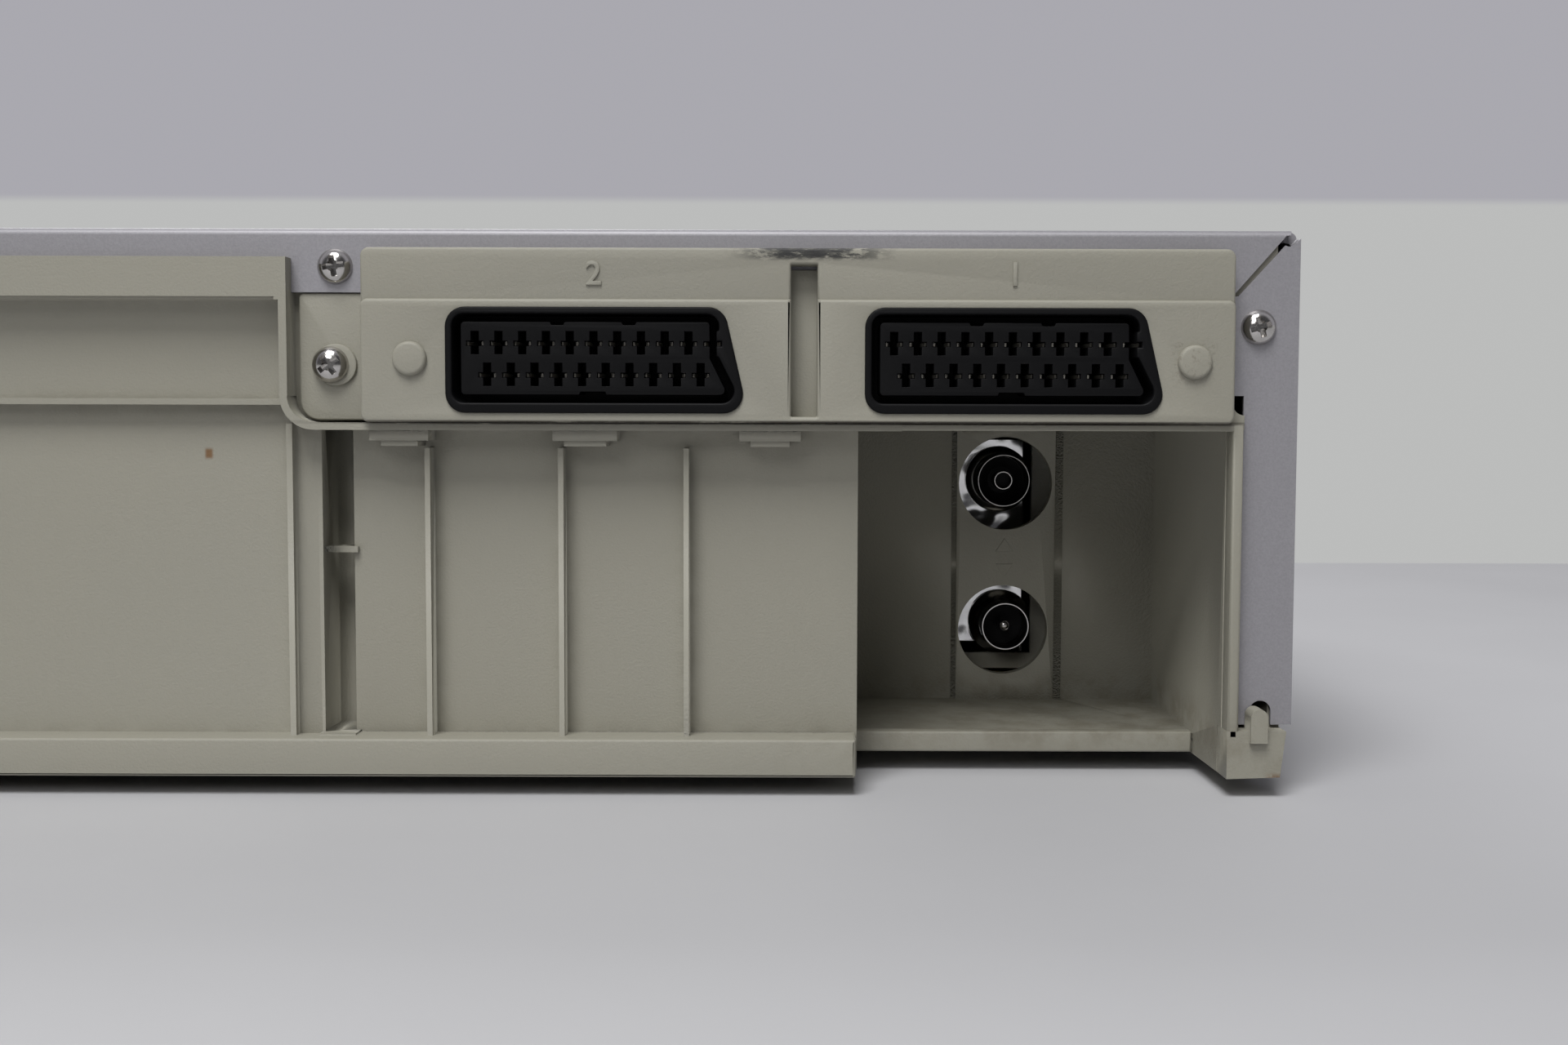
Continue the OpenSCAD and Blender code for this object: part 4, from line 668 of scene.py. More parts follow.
# how far the edges of each moulded piece are rounded
edges = {"front_panel": 0.0004, "cassette_door": 0.0004, "bottom_plate": 0.0002, "feet": 0.0006,
         "mains_inlet": 0.0003, "tuner_can": 0.0003}
for key in ("power", "eject", "play", "stop", "rewind", "forward", "record", "channel_up", "channel_down"):
    edges[key + "_button"] = 0.0005
for nodeName, width in edges.items():
    roundedCopy(nodeName, width)
print("rounded", len(edges), "pieces")


# where the scene puts a rounded plate over a face of the frame, the face steps back a little
under = {"ledge": (72.0, 375.1), "ledgeFace": 3.2, "ledgeBack": 2.6, "ledgeTop": 9.3, "ledgeFloor": 3.3,
         "drop": 0.25, "bay": (9.0, 73.0), "bayFace": -18.0, "bayBack": -18.5, "bayHeights": (3.5, 6.6),
         "legSide": 12.0, "legIn": 0.6, "hookSide": 8.0, "hookFace": 5.0, "hookBack": 4.3}


def close(value, wanted, slack=0.1):
    return abs(value - wanted) < slack


def frameShape(across, proud, up):
    side = min(across, rear["width"] - across)
    onLedge = under["ledge"][0] < across < under["ledge"][1]
    ledgeTop = under["ledgeTop"] - under["drop"]
    if close(side, under["legSide"]) and up < 11 and proud > -3.1:
        return across + (-under["legIn"] if across < rear["width"] / 2 else under["legIn"]), proud, up
    if side < under["hookSide"] and close(proud, under["hookFace"]) and up < 15:
        return across, under["hookBack"], up
    if onLedge and up < under["ledgeTop"] + 0.05 and proud > under["ledgeFace"] - 0.05:
        return across, under["ledgeBack"], max(under["ledgeFloor"], min(up, ledgeTop))
    if onLedge and close(up, under["ledgeTop"], 0.05) and proud > -3.9:
        return across, proud, ledgeTop
    if under["bay"][0] < across < under["bay"][1] and close(proud, under["bayFace"], 0.05):
        low, high = under["bayHeights"]
        return across, under["bayBack"], max(low, min(up, high))
    return across, proud, up


# the flange beside the terminal cover has one step
flangeStep = {"from": 10.0, "to": 8.85, "heights": (61.9, 65.9)}


def coverShape(across, proud, up):
    side = min(across, rear["width"] - across)
    if close(side, flangeStep["from"]) and flangeStep["heights"][0] < up < flangeStep["heights"][1]:
        edge = flangeStep["to"]
        return (edge if across < rear["width"] / 2 else rear["width"] - edge), proud, up
    return across, proud, up


# what is cut from the cover: the relief where two bends meet, and the round of the bend along the rear
def coverCuts():
    relief = [(2.25, 90.5), (1.25, 93.0), (-0.3, 93.0), (-0.3, 91.75), (0.95, 90.4)]
    mirrored = [(rear["width"] - across, up) for across, up in relief]
    cutters = [standingPlate(name, [placed(outline)], -2.4, 0.6, 0.0)
               for name, outline in (("reliefRight", relief), ("reliefLeft", mirrored))]
    bend = {"radius": 1.1, "steps": 8, "top": 92.7, "clear": 0.4, "start": 1.0, "length": 378.0}
    radius, top, clear = bend["radius"], bend["top"], bend["clear"]
    section = [(clear, top + clear), (-radius, top + clear)]
    for number in range(bend["steps"] + 1):
        angle = math.pi / 2 * number / bend["steps"]
        section.append((-radius + radius * math.sin(angle), top - radius + radius * math.cos(angle)))
    section.append((clear, top - radius))
    bm = bmesh.new()
    ring = [bm.verts.new(onRear(bend["start"], proud, up)) for proud, up in section]
    made = bmesh.ops.extrude_face_region(bm, geom=[bm.faces.new(ring)])
    bmesh.ops.translate(bm, verts=movedVerts(made), vec=(bend["length"] * mm, 0, 0))
    cutters.append(newObject("bendCut", builtMesh(bm, bpy.data.meshes.new("bendCut"))))
    return cutters


roundedCopy("main_frame", 0.0003, reshape=frameShape)
roundedCopy("top_cover", 0.0002, reshape=coverShape, cuts=coverCuts())


# turned pieces and rounded plates of the rear

# an outline of (radius, distance along the axis) in millimetres, turned about an axis along Y
def turned(name, outline, middle, towardsFront=False):
    steps = 72
    bm = bmesh.new()
    along = -1 if towardsFront else 1
    rings = []
    for radius, run in outline:
        rings.append([bm.verts.new(((middle[0] + radius * math.cos(2 * math.pi * step / steps)) * mm,
                                    (middle[1] + along * run) * mm,
                                    (middle[2] + radius * math.sin(2 * math.pi * step / steps)) * mm))
                      for step in range(steps if radius else 1)])
    closed = outline[0][0] > 0
    for number in range(len(rings) if closed else len(rings) - 1):
        first, second = rings[number], rings[(number + 1) % len(rings)]
        for step in range(steps):
            following = (step + 1) % steps
            if len(first) == 1:
                bm.faces.new((first[0], second[following], second[step]))
            elif len(second) == 1:
                bm.faces.new((first[step], first[following], second[0]))
            else:
                bm.faces.new((first[step], first[following], second[following], second[step]))
    return newObject(name, builtMesh(bm, bpy.data.meshes.new(name), 35))


# a plate of the rear: its corners (across, up, radius), its depth from and to, and how soft its edges are
def rearPlate(name, corners, low, high, soft, material=None, holes=(), stands=()):
    outlines = [placed(roundedCorners(corners))] + [placed(hole) for hole in holes]
    carry(standingPlate(name, outlines, low, high, soft), "frame_plastic", material, stands)


def makeFrameEdges():
    rearPlate("bayWallEnd", boxCorners(9.5, 11.35, 9.5, 61.15), -1.0, 3.2, 0.5)
    rearPlate("bayRoofEdge", boxCorners(11.0, 66.0, 60.0, 61.15), -1.2, 3.15, 0.2)
    rearPlate("rearLedge", boxCorners(72.25, 374.9, 3.02, 9.3, 0.3), -3.95, 3.2, 0.45)
    rearPlate("bayFloorLip", boxCorners(12.15, 71.7, 3.3, 6.9), -21.0, -18.0, 0.45)
    lip = {"right": 9.0, "left": 13.5, "low": 60.2, "shoulder": 62.6, "top": 64.6, "hollow": 2.0}
    hollow = [(lip["right"] + lip["hollow"] * math.sin(math.radians(turn)),
               lip["top"] - lip["hollow"] * math.cos(math.radians(turn)), 0) for turn in range(15, 91, 15)]
    outline = [(lip["left"], lip["low"], 0), (lip["right"], lip["low"], 0),
               (lip["right"], lip["shoulder"], 0)]
    rearPlate("lipEnd", outline + hollow + [(lip["left"], lip["top"], 0)], -1.0, 1.4, 0.15)
    print("edges of the frame made")


makeFrameEdges()

sockets = {"shifts": (0.0, 67.3),
           "edge": [(71.2, 79.7, 3.2), (26.5, 79.7, 3.2), (22.6, 62.7, 3.2), (71.2, 62.7, 3.2)],
           "inset": [(70.6, 79.1, 2.6), (27.1, 79.1, 2.6), (23.35, 63.3, 2.6), (70.6, 63.3, 2.6)]}


# the cover of the connections: its raised face steps down at a crease, and two pads stand on it
def makeTerminalCover():
    cover = {"right": 11.7, "left": 152.2, "bottom": 61.2, "crease": 81.0, "top": 89.2, "face": 5.5,
             "gap": (78.85, 83.05, 62.2, 86.6), "pads": ((144.2, 71.4), (18.3, 71.1)), "screw": (157.5, 70.5)}
    right, left, bottom, crease, top = (cover[key] for key in ("right", "left", "bottom", "crease", "top"))
    gapRight, gapLeft, gapLow, gapTop = cover["gap"]
    holes = [roundedCorners([(across + shift, up, radius) for across, up, radius in sockets["inset"]])
             for shift in sockets["shifts"]]
    lower = [(left, crease, 1.2), (gapLeft, crease, 0.2), (gapLeft, gapLow, 0.2), (gapRight, gapLow, 0.2),
             (gapRight, crease, 0.2), (right, crease, 1.2), (right, bottom, 1.2), (left, bottom, 1.2)]
    hair, seam = 0.03, crease - 0.9
    upper = [(left - hair, top, 1.4), (right + hair, top, 1.4), (right + hair, seam, 0),
             (gapRight - hair, seam, 0), (gapRight - hair, gapTop, 0.2), (gapLeft + hair, gapTop, 0.2),
             (gapLeft + hair, seam, 0), (left - hair, seam, 0)]
    plastic = terminalPlastic
    rearPlate("terminalFace", lower, 0.2, cover["face"], 0.5, plastic, holes, ("av_terminal_cover",))
    rearPlate("terminalTop", upper, 0.1, cover["face"] - 0.5, 0.45, plastic)
    rearPlate("terminalGap", boxCorners(gapRight - 1, gapLeft + 1, 62.0, 86.0), 0.15, 0.9, 0.1, plastic)
    rearPlate("terminalBack", boxCorners(right + 2, left, 61.4, 82.0, 0.5), -1.6, 0.3, 0.1, plastic, holes)
    rearPlate("terminalTab", [(163.5, 82.2, 0.8), (150.9, 82.2, 0), (150.9, 61.5, 0), (163.5, 61.5, 3.2)],
              -2.0, -0.4, 0.3, plastic)

    def place(name, outline, across, up):
        middle = (rear["edgeX"] + across, rear["flangeY"], up)
        carry(turned(name, outline, middle), "frame_plastic", plastic)

    place("terminalScrewSeat", [(0, -1.0), (3.45, -1.0), (3.45, 0.05), (3.35, 0.22), (3.1, 0.3), (0, 0.3)],
          *cover["screw"])
    pad = [(0, 4.9), (2.75, 4.9), (2.75, 5.9), (2.7, 6.13), (2.56, 6.32), (2.36, 6.45), (2.1, 6.5), (0, 6.5)]
    post = [(0, -14), (2.4, -14), (2.4, 1), (0, 1)]
    for number, (across, up) in enumerate(cover["pads"]):
        place("terminalPad" + str(number + 1), pad, across, up)
        place("terminalPost" + str(number + 1), post, across, up)
    print("terminal cover made")


makeTerminalCover()


# the two 21-pin sockets: rim, groove for the plug's shell, and the island with its crossed holes
def makeSocket(number, shift):
    socket = {"face": 6.0, "island": 5.2, "floor": -2.5, "back": -12.0, "upper": 73.85, "lower": 68.78,
              "arm": (1.3, 3.75), "slot": (2.85, 0.85), "lift": 0.12, "pitch": 3.81, "contacts": 10,
              "upperStart": 66.5, "lowerStart": 64.55, "notches": (53.25, 41.75), "notch": (1.2, 0.95)}
    upper, back, floor = socket["upper"], socket["back"], socket["floor"]
    armW, armH = (size / 2 for size in socket["arm"])
    slotW, slotH = (size / 2 for size in socket["slot"])
    # the groove runs straight beside the last contact and then follows the slanted end
    groove = [(70.1, 78.6, 1.9), (27.3, 78.6, 2.0), (27.3, 76.0, 0), (27.7, 75.8, 0),
              (27.7, upper + slotH, 0), (26.85, upper + slotH, 0), (26.85, upper - slotH, 0),
              (27.7, upper - slotH, 0), (27.7, 71.9, 0), (27.35, 71.75, 0), (23.6, 64.35, 2.0),
              (70.1, 64.35, 1.9)]
    island = [(68.73, 77.3, 0.6)]
    wide, narrow = socket["notch"]
    for middle in socket["notches"]:
        island += [(middle + wide, 77.3, 0), (middle + narrow, 76.8, 0.2), (middle - narrow, 76.8, 0.2),
                   (middle - wide, 77.3, 0)]
    island += [(28.85, 77.3, 0.5), (28.8, upper + slotH, 0), (29.8, upper + slotH, 0),
               (29.8, upper - slotH, 0), (28.8, upper - slotH, 0), (28.8, 71.5, 0.5), (25.9, 65.66, 0.8),
               (45.4, 65.66, 0), (45.6, 66.15, 0.15), (49.6, 66.15, 0.15), (49.8, 65.66, 0),
               (68.73, 65.66, 0.6)]
    inside = [(70.7, 79.2, 2.7), (26.9, 79.2, 2.7), (23.2, 63.2, 2.7), (70.7, 63.2, 2.7)]
    lift = socket["lift"]
    cross = [(-armW, slotH), (-armW, armH + lift), (armW, armH + lift), (armW, slotH), (slotW, slotH),
             (slotW, -slotH), (armW, -slotH), (armW, lift - armH), (-armW, lift - armH), (-armW, -slotH),
             (-slotW, -slotH), (-slotW, slotH)]
    places = [(socket[start] - i * socket["pitch"], up) for start, up in
              (("upperStart", upper), ("lowerStart", socket["lower"])) for i in range(socket["contacts"])]
    holes = [placed([(a + u, z + v) for u, v in cross], shift) for a, z in places]
    plates = {"Rim": ([sockets["edge"], groove], [], back, socket["face"], 0.3),
              "Island": ([island], holes, floor - 0.5, socket["island"], 0.07),
              "Floor": ([inside], [], back + 0.2, floor, 0.05)}
    stands = ("av_socket_" + str(number),)
    for part, (outlines, pierced, low, high, soft) in plates.items():
        drawn = [placed(roundedCorners(outline), shift) for outline in outlines]
        plate = standingPlate("avSocket" + str(number) + part, drawn + pierced, low, high, soft)
        carry(plate, "socket_plastic", stands=stands)
        stands = ()
    print("socket", number, "with", len(holes), "holes")


for number, shift in enumerate(sockets["shifts"]):
    makeSocket(number + 1, shift)


# pan head screws with a cross recess
def screwTree():
    form = {"squareness": 2.8, "roundness": 0.6, "armReach": 1.25, "taper": 0.22, "coneTop": 1.15,
            "coneTip": 0.3}
    g = Grower("panHeadScrews")
    places = g.input("Places", "Geometry")
    headR, headH, armW, deep, shankR, shankL = g.sizes(
        "Head radius", "Head height", "Recess width", "Recess depth", "Shank radius", "Shank length")
    material = g.input("Material", "Material")
    # the head: a ball pressed flat below, steep at its rim and low at its crown
    ball = g.shape("MeshUVSphere", Segments=48, Rings=24, Radius=1.0)
    x, y, z = g.split(g.shape("InputPosition"))
    out = ((x * x + y * y) ** 0.5).atMost(1.0)
    crown = headH * (1 - out ** form["squareness"]).atLeast(0.0) ** form["roundness"]
    up = (z > 0.001) * crown
    head = g.shape("SetPosition", Geometry=ball, Position=g.join(x * headR, y * headR, up))
    # the recess: two arms that narrow as they go down, and a cone where they cross
    cutters = []
    for quarter in (0.0, math.pi / 2):
        arm = g.shape("MeshCube", Size=g.join(headR * form["armReach"], armW, deep * 2))
        ax, ay, az = g.split(g.shape("InputPosition"))
        taper = 1 + form["taper"] * az / deep
        arm = g.shape("SetPosition", Geometry=arm, Position=g.join(ax * taper, ay * taper, az + headH))
        cutters.append(g.shape("Transform", Geometry=arm, Rotation=(0.0, 0.0, quarter)))
    cone = g.shape("MeshCone", Vertices=16, Radius_Top=armW * form["coneTop"],
                   Radius_Bottom=armW * form["coneTip"], Depth=deep * form["coneTop"])
    cutters.append(g.shape("Transform", Geometry=cone, Translation=g.join(0.0, 0.0, headH - deep)))
    head = g.node("GeometryNodeMeshBoolean", {"operation": "DIFFERENCE", "solver": "EXACT"},
                  {"Mesh 1": head, "Mesh 2": cutters})
    shank = g.shape("MeshCylinder", Vertices=24, Radius=shankR, Depth=shankL)
    shank = g.shape("Transform", Geometry=shank, Translation=g.join(0.0, 0.0, shankL * -0.5 + 0.0001))
    screw = g.shape("JoinGeometry", Geometry=[head, shank])
    size = g.carried("size")
    upright = g.node("FunctionNodeAlignRotationToVector", {"axis": "Z"},
                     {"Vector": g.carried("axis", "FLOAT_VECTOR")})
    turn = g.turnedBy(upright, g.carried("turn"))
    g.close(g.shape("InstanceOnPoints", Points=places, Instance=screw, Rotation=turn,
                    Scale=g.join(size, size, size)), material)
    return g


# a mesh of bare points that carry named values
def pointMesh(name, points, **values):
    mesh = bpy.data.meshes.new(name)
    mesh.from_pydata([tuple(p) for p in points], [], [])
    for label, rows in values.items():
        kind = "FLOAT_VECTOR" if isinstance(rows[0], tuple) else "FLOAT"
        layer = mesh.attributes.new(label, kind, "POINT")
        for item, value in zip(layer.data, rows):
            if kind == "FLOAT":
                item.value = value
            else:
                item.vector = value
    return mesh


def makeScrews():
    rearwards, upwards = (0, 1, 0), (0, 0, 1)
    rows = [(onRear(6.65, 0.0, 77.0), rearwards, 0.30, 1.0),
            (onRear(373.35, 0.0, 77.0), rearwards, 1.1, 1.0),
            (onRear(157.4, 0.0, 86.5), rearwards, 0.15, 1.0),
            (onRear(158.3, 0.3, 70.5), rearwards, 0.62, 1.04)]
    deck = {"top": 25.2, "places": [(-108, -70), (98, -70), (-108, 45), (104, 34)]}
    board = {"top": 10.6, "places": [(-170, -69), (-170, 45), (20, 45), (20, -69), (121, -69), (178, -69),
                                     (121, 115), (178, 115)]}
    inside = [Vector((x, y, plate["top"])) * mm for plate in (deck, board) for x, y in plate["places"]]
    rows += [(place, upwards, 0.4 + 0.7 * number, 1.04) for number, place in enumerate(inside)]
    points = pointMesh("screwPlaces", [row[0] for row in rows], axis=[row[1] for row in rows],
                       turn=[row[2] for row in rows], size=[row[3] for row in rows])
    screw = {"Head radius": 0.0029, "Head height": 0.0018, "Recess width": 0.00095, "Recess depth": 0.0016,
             "Shank radius": 0.0013, "Shank length": 0.0043, "Material": finishes["nickel"]}
    piece = screwTree().grow("crossScrews", screw, points)
    smoothFaces(piece.data)
    carry(piece, "nickel", stands=("screws",))
    print("screws", len(rows), "faces", len(piece.data.polygons))


makeScrews()


# the sprung leaves in the contact holes of the two sockets
def contactTree():
    g = Grower("contactLeaves")
    upper, lower = g.input("Upper row", "Int"), g.input("Lower row", "Int")
    lowerShift, socketStep, start = (g.input(name, "Vector") for name in
                                     ("Lower shift", "Socket step", "First contact"))
    pitch, gape, width, thick = g.sizes("Pitch", "Gape", "Leaf width", "Leaf thickness")
    material = g.input("Material", "Material")
    # one leaf: straight in its hole, bowed inwards, its lip turned out
    path = g.shape("CurvePrimitiveBezierSegment", {"mode": "POSITION"}, Resolution=10,
                   Start=g.join(gape, -0.0026, 0.0), Start_Handle=g.join(gape, 0.0006, 0.0),
                   End_Handle=g.join(gape * 0.5, 0.0030, 0.0), End=g.join(gape * 1.2, 0.0046, 0.0))
    strip = g.shape("CurvePrimitiveQuadrilateral", Width=thick, Height=width)
    leaf = g.shape("CurveToMesh", Curve=path, Profile_Curve=strip, Fill_Caps=True)
    other = g.shape("Transform", Geometry=leaf, Rotation=(0.0, math.pi, 0.0))
    pair = g.shape("JoinGeometry", Geometry=[leaf, other])
    upperRow = g.shape("MeshLine", {"mode": "OFFSET"}, Count=upper, Offset=g.join(pitch, 0.0, 0.0))
    lowerRow = g.shape("MeshLine", {"mode": "OFFSET"}, Count=lower, Start_Location=lowerShift,
                       Offset=g.join(pitch, 0.0, 0.0))
    rows = g.shape("JoinGeometry", Geometry=[upperRow, lowerRow])
    one = g.shape("InstanceOnPoints", Points=rows, Instance=pair)
    sockets = g.shape("MeshLine", {"mode": "OFFSET"}, Count=2, Start_Location=start, Offset=socketStep)
    g.close(g.shape("InstanceOnPoints", Points=sockets, Instance=one), material)
    return g


def makeContacts():
    leaf = {"Pitch": -0.00381, "Upper row": 11, "Lower row": 10, "Lower shift": (-0.00195, 0.0, -0.00507),
            "Socket step": (0.0673, 0.0, 0.0), "First contact": tuple(onRear(66.5, 0.0, 73.85)),
            "Gape": 0.00100, "Leaf width": 0.0006, "Leaf thickness": 0.00026, "Material": contactTin}
    piece = contactTree().grow("contactLeaves", leaf)
    smoothFaces(piece.data, 50)
    carry(piece, "nickel", stands=("av_contacts",))
    print("contacts", len(piece.data.polygons), "faces")


makeContacts()


# the aerial connections stand on their can behind two holes of the bay
def makeAerialConnections():
    can, tip = -66.0, -56.0
    socket = {"place": (40.8, 49.8), "outer": 5.25, "bore": 4.78, "core": 1.9, "hole": 1.42}
    plug = {"place": (40.2, 20.9), "outer": 4.75, "inner": 4.25, "pin": 1.15}
    outer, bore, core, hole = (socket[key] for key in ("outer", "bore", "core", "hole"))
    ring, inner, pin = plug["outer"], plug["inner"], plug["pin"]

    def place(name, outline, at, slot, stands=()):
        middle = (rear["edgeX"] + at[0], rear["flangeY"], at[1])
        carry(turned(name, outline, middle), slot, stands=stands)

    place("aerialSocketShell", [
        (0, can), (6.6, can), (6.6, can + 0.9), (6.3, can + 1.2), (outer, can + 1.4), (outer, tip - 0.5),
        (5.05, tip), (4.95, tip), (bore, tip - 0.4), (bore, can + 2.6), (core, can + 2.6), (core, tip - 1.1),
        (1.75, tip - 0.8), (1.6, tip - 0.8), (hole, tip - 1.1), (hole, can + 1), (0, can + 1)],
        socket["place"], "nickel", ("aerial_socket",))
    place("aerialSocketInsulator", [
        (core + 0.04, can + 2.5), (bore - 0.04, can + 2.5), (bore - 0.04, can + 3.6), (3.6, can + 3.8),
        (2.6, can + 4.6), (core + 0.04, can + 4.6)], socket["place"], "socket_plastic")
    place("aerialSocketCore", [(0, can + 0.5), (1.4, can + 0.5), (1.4, tip - 2.5), (0, tip - 2.5)],
          socket["place"], "socket_plastic")
    place("aerialPlugShell", [
        (inner, can), (6.4, can), (6.4, can + 1.0), (ring + 0.5, can + 1.5), (ring, can + 2.2),
        (ring, tip - 0.35), (4.6, tip), (4.42, tip), (inner, tip - 0.35)], plug["place"], "nickel",
        ("rf_out_plug",))
    place("aerialPlugPin", [
        (0, can - 1), (pin, can - 1), (pin, tip - 2.2), (0.95, tip - 1.4), (0.5, tip - 1.05), (0, tip - 1.0)],
        plug["place"], "nickel")
    place("aerialPlugInsulator", [
        (pin + 0.03, can + 0.4), (inner - 0.03, can + 0.4), (inner - 0.03, can + 2.4),
        (pin + 0.03, can + 2.0)], plug["place"], "socket_plastic")
    print("aerial connections made")


makeAerialConnections()


# raised numbers and arrows

# flat outlines in millimetres, across and up as their face is seen, made into low blocks with soft edges
def raisedShape(name, outlines, middle, proud, slot, material=None, body="chassis", soft=0.06,
                towardsFront=False):
    side = 1 if towardsFront else -1
    bm = bmesh.new()
    for outline in outlines:
        corners = [Vector((middle[0] + side * u, middle[1], middle[2] + v)) * mm for u, v in outline]
        bm.faces.new([bm.verts.new(corner) for corner in corners])
    made = bmesh.ops.extrude_face_region(bm, geom=list(bm.faces))
    bmesh.ops.translate(bm, verts=movedVerts(made), vec=Vector((0, -side, 0)) * proud * mm)
    piece = newObject(name, builtMesh(bm, bpy.data.meshes.new(name), 40))
    bevel = piece.modifiers.new("edges", "BEVEL")
    bevel.width = soft * mm
    bevel.segments = 2
    bevel.limit_method = "ANGLE"
    bevel.angle_limit = math.radians(40)
    carry(piece, slot, material, body=body)


# a number whose face looks to the rear, raised from the face behind it
def raisedNumber(name, text, middle, height, proud):
    letterFit = 1.38  # the size of the lettering over the height of a numeral
    curve = bpy.data.curves.new(name, "FONT")
    curve.body = text
    curve.align_x = "CENTER"
    curve.align_y = "CENTER"
    curve.size = height * letterFit * mm
    curve.extrude = proud * 0.5 * mm
    curve.bevel_depth = 0.07 * mm
    curve.bevel_resolution = 1
    stand = Matrix.Rotation(math.radians(180), 4, "Z") @ Matrix.Rotation(math.radians(90), 4, "X")
    mesh = meshOfCurve(name, curve, Matrix.Translation(Vector(middle)) @ stand, 40)
    carry(newObject(name, mesh), "frame_plastic", terminalPlastic)


def makeRearMarks():
    number = {"height": 3.9, "proud": 0.5, "up": 84.9, "faceAt": 5.0}
    for text, across in (("2", 114.7), ("1", 47.2)):
        raisedNumber("socketNumber" + text, text, onRear(across, number["faceAt"] + 0.05, number["up"]),
                     number["height"], number["proud"])
    arrow = {"half": 1.7, "tall": 2.6, "proud": 0.3, "faceAt": -49.6}
    half, tip = arrow["half"], arrow["tall"] / 2
    triangle = [(-half, -tip), (half, -tip), (0, tip)]
    for name, up, flip in (("arrowUp", 37.6, 1), ("arrowDown", 32.6, -1)):
        middle = (rear["edgeX"] + 41.4, rear["flangeY"] + arrow["faceAt"] - 0.05, up)
        outline = [(u, v * flip) for u, v in triangle]
        raisedShape(name, [outline], middle, arrow["proud"] + 0.05, "frame_plastic")
    print("rear numbers and arrows made")


makeRearMarks()


# front: printed signs on the buttons, the clock and the rings of the jacks

def makeButtonSigns():
    size, proud, dishDepth = 2.1, 0.1, 0.5
    left = [(size, size * 0.9), (-size * 0.8, 0), (size, -size * 0.9)]
    right = [(-u, v) for u, v in left]
    up = [(-size * 0.9, -size * 0.6), (size * 0.9, -size * 0.6), (0, size * 0.9)]
    dot = [(1.9 * math.cos(math.pi * i / 20), 1.9 * math.sin(math.pi * i / 20)) for i in range(40)]

    def bar(u0, u1, v0, v1):
        return [(u0, v0), (u1, v0), (u1, v1), (u0, v1)]

    def shift(outline, by):
        return [(u + by, v) for u, v in outline]

    signs = {"play_button": [right], "stop_button": [bar(-1.7, 1.7, -1.7, 1.7)],
             "rewind_button": [shift(left, -1.7), shift(left, 2.2)],
             "forward_button": [shift(right, 1.7), shift(right, -2.2)],
             "record_button": [dot],
             "eject_button": [[(u, v + 0.5) for u, v in up], bar(-1.9, 1.9, -2.2, -1.5)],
             "channel_up_button": [up], "channel_down_button": [[(u, -v) for u, v in reversed(up)]],
             "power_button": [bar(-0.35, 0.35, -1.2, 3.0)]}
    for nodeName, outlines in signs.items():
        low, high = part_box(nodeName)
        middle = ((low[0] + high[0]) / 2 / mm, low[1] / mm + dishDepth, (low[2] + high[2]) / 2 / mm)
        raisedShape(nodeName + "Sign", outlines, middle, proud, slots[nodeName], keyPrint, bodyOf[nodeName],
                    soft=0.03, towardsFront=True)
    print("signs on", len(signs), "buttons")


makeButtonSigns()


# the jacks behind the pocket: coloured ring, plated shell, insulator and sprung centre
def makeJacks():
    jack = {"across": (-165.0, -147.0, -129.0), "up": 28.0, "boardY": -127.0, "shell": 4.15, "wall": 0.75,
            "hole": 1.7, "ring": 6.05, "reach": 13.8}
    colours = {"Yellow": (0.80, 0.55, 0.02), "White": (0.80, 0.80, 0.77), "Red": (0.60, 0.02, 0.02)}
    shell, ring, hole, reach = jack["shell"], jack["ring"], jack["hole"], jack["reach"]
    inner = shell - jack["wall"]
    parts = {
        "Shell": ("nickel", [(inner, 0), (shell, 0), (shell, reach - 0.5), (shell - 0.2, reach - 0.1),
                             (shell - 0.4, reach), (inner, reach - 0.2)]),
        "Ring": ("button_plastic", [(shell + 0.05, 0.2), (ring, 0.2), (ring, 5.7), (ring - 0.4, 6.2),
                                    (shell + 0.35, 6.2), (shell + 0.05, 5.9)]),
        "Insulator": ("socket_plastic", [(hole, 0.5), (inner - 0.04, 0.5), (inner - 0.04, reach - 1.4),
                                         (hole + 0.3, reach - 1.2), (hole, reach - 1.5)]),
        "Spring": ("nickel", [(1.3, 1.0), (hole - 0.05, 1.0), (hole - 0.05, reach - 3.0),
                              (1.3, reach - 3.2)])}
    stands = ("av_input_jacks",)
    for across, (colourName, colour) in zip(jack["across"], colours.items()):
        ringFinish = mouldedPlastic("jackRing" + colourName, colour, rough=0.4, grainDepth=0.000004).material
        special = {"Ring": ringFinish, "Insulator": finishes["gear_plastic"]}
        for part, (slot, outline) in parts.items():
            place = (across, jack["boardY"], jack["up"])
            piece = turned("jack" + part + colourName, outline, place, towardsFront=True)
            carry(piece, slot, special.get(part), stands)
            stands = ()
    print("jacks made")


makeJacks()


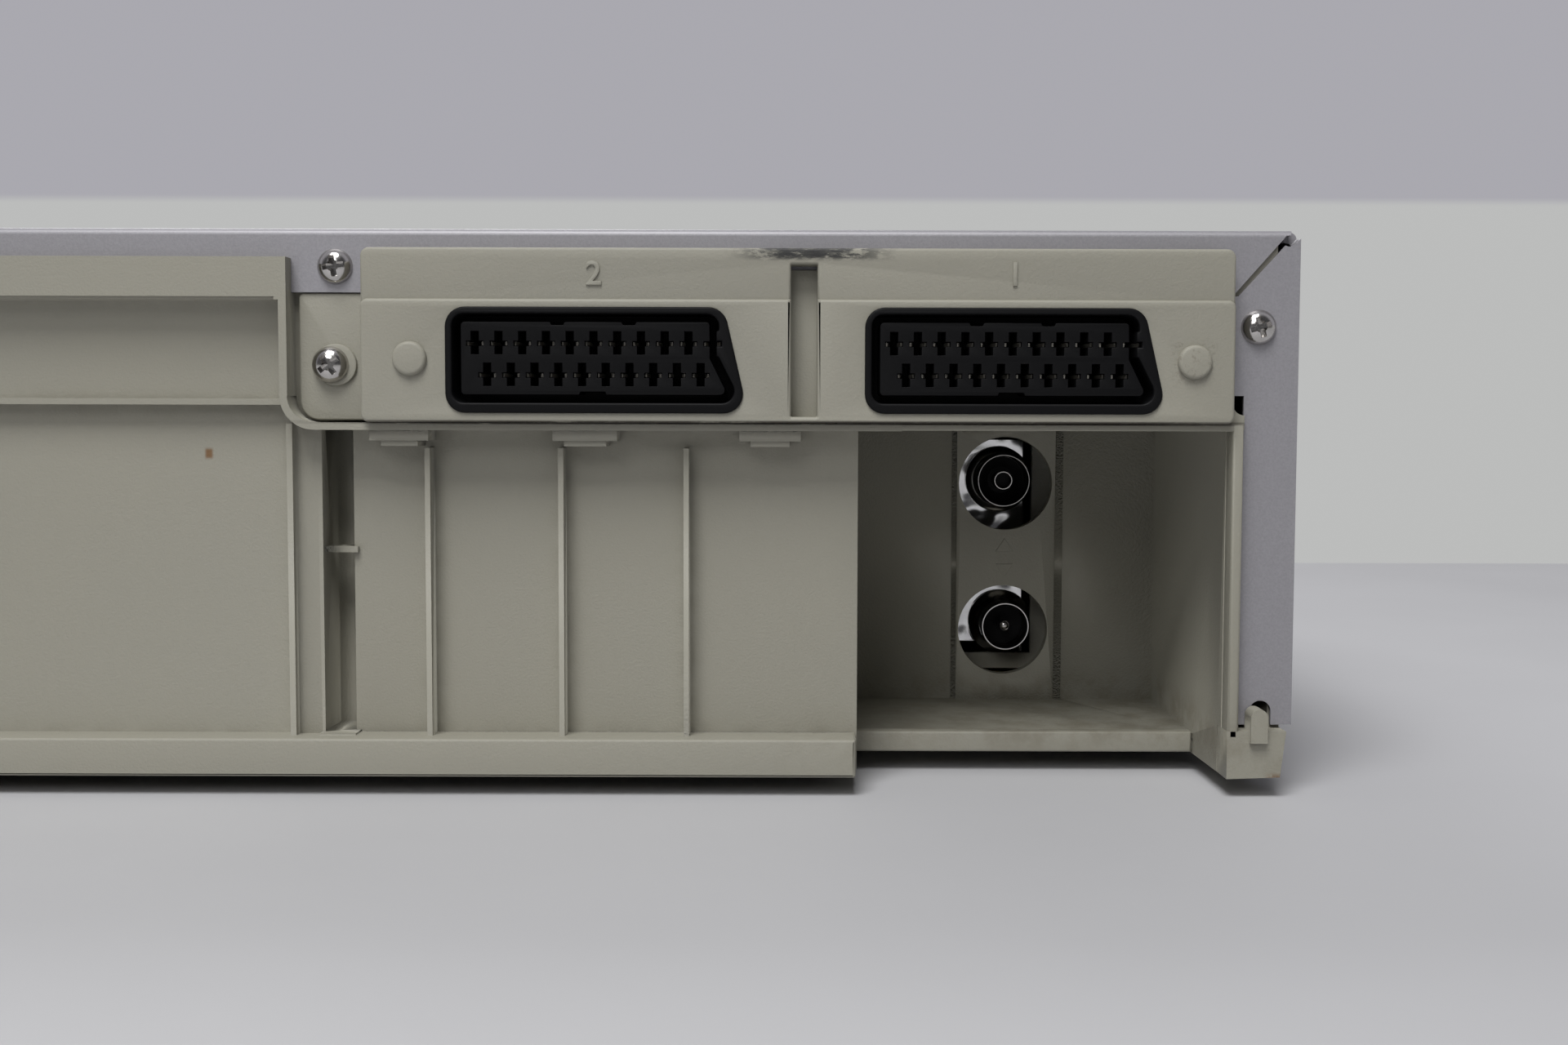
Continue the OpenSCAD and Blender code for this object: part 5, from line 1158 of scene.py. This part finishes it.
# the clock: seven bars to a digit, each a long hexagon
def barTree():
    g = Grower("clockBars")
    places = g.input("Places", "Geometry")
    length, thick = g.sizes("Bar length", "Bar thickness")
    material = g.input("Material", "Material")
    six = g.shape("MeshCircle", {"fill_type": "NGON"}, Vertices=6, Radius=1.0)
    x, y = g.split(g.shape("InputPosition"))[:2]
    side = g.node("ShaderNodeMath", {"operation": "SIGN"}, {0: x})
    tip = abs(x) > 0.75
    bar = g.shape("SetPosition", Geometry=six, Position=g.join(
        side * (length * 0.5 - (1 - tip) * thick * 0.5), y * thick * 0.577, 0.0))
    stand = g.node("FunctionNodeEulerToRotation", {}, {0: g.join(math.pi / 2, 0.0, 0.0)})
    turn = g.turnedBy(stand, g.carried("turn"))
    g.close(g.shape("InstanceOnPoints", Points=places, Instance=bar, Rotation=turn,
                    Scale=g.join(g.carried("reach"), 1.0, 1.0)), material)
    return g


def makeClock():
    clock = {"text": "12:00", "digitW": 6.4, "digitH": 12.0, "step": 9.6, "bar": 5.2, "thick": 1.0,
             "y": -134.62, "up": 30.0, "across": 0.0, "lean": 0.10}
    lit = {"0": "abcdef", "1": "bc", "2": "abged"}
    w, h = clock["digitW"] / 2, clock["digitH"] / 2
    bars = {"a": (0, h, 0), "b": (w, h / 2, 1), "c": (w, -h / 2, 1), "d": (0, -h, 0), "e": (-w, -h / 2, 1),
            "f": (-w, h / 2, 1), "g": (0, 0, 0)}
    places, turns, reaches = [], [], []
    start = clock["across"] - clock["step"] * (len(clock["text"]) - 1) / 2
    for number, sign in enumerate(clock["text"]):
        middle = start + number * clock["step"]
        marks = [(0, h * 0.4, 0), (0, -h * 0.4, 0)] if sign == ":" else [bars[letter] for letter in lit[sign]]
        for u, v, upright in marks:
            places.append(((middle + u + v * clock["lean"]) * mm, clock["y"] * mm, (clock["up"] + v) * mm))
            turns.append(math.pi / 2 - clock["lean"] if upright else 0.0)
            reaches.append(0.22 if sign == ":" else 1.0)
    values = {"Bar length": clock["bar"] * mm, "Bar thickness": clock["thick"] * mm, "Material": displayGlow}
    piece = barTree().grow("clockDigits", values, pointMesh("clockPlaces", places, turn=turns, reach=reaches))
    carry(piece, slots["display_tube"])
    print("clock bars", len(places))


makeClock()

bpy.context.view_layer.update()
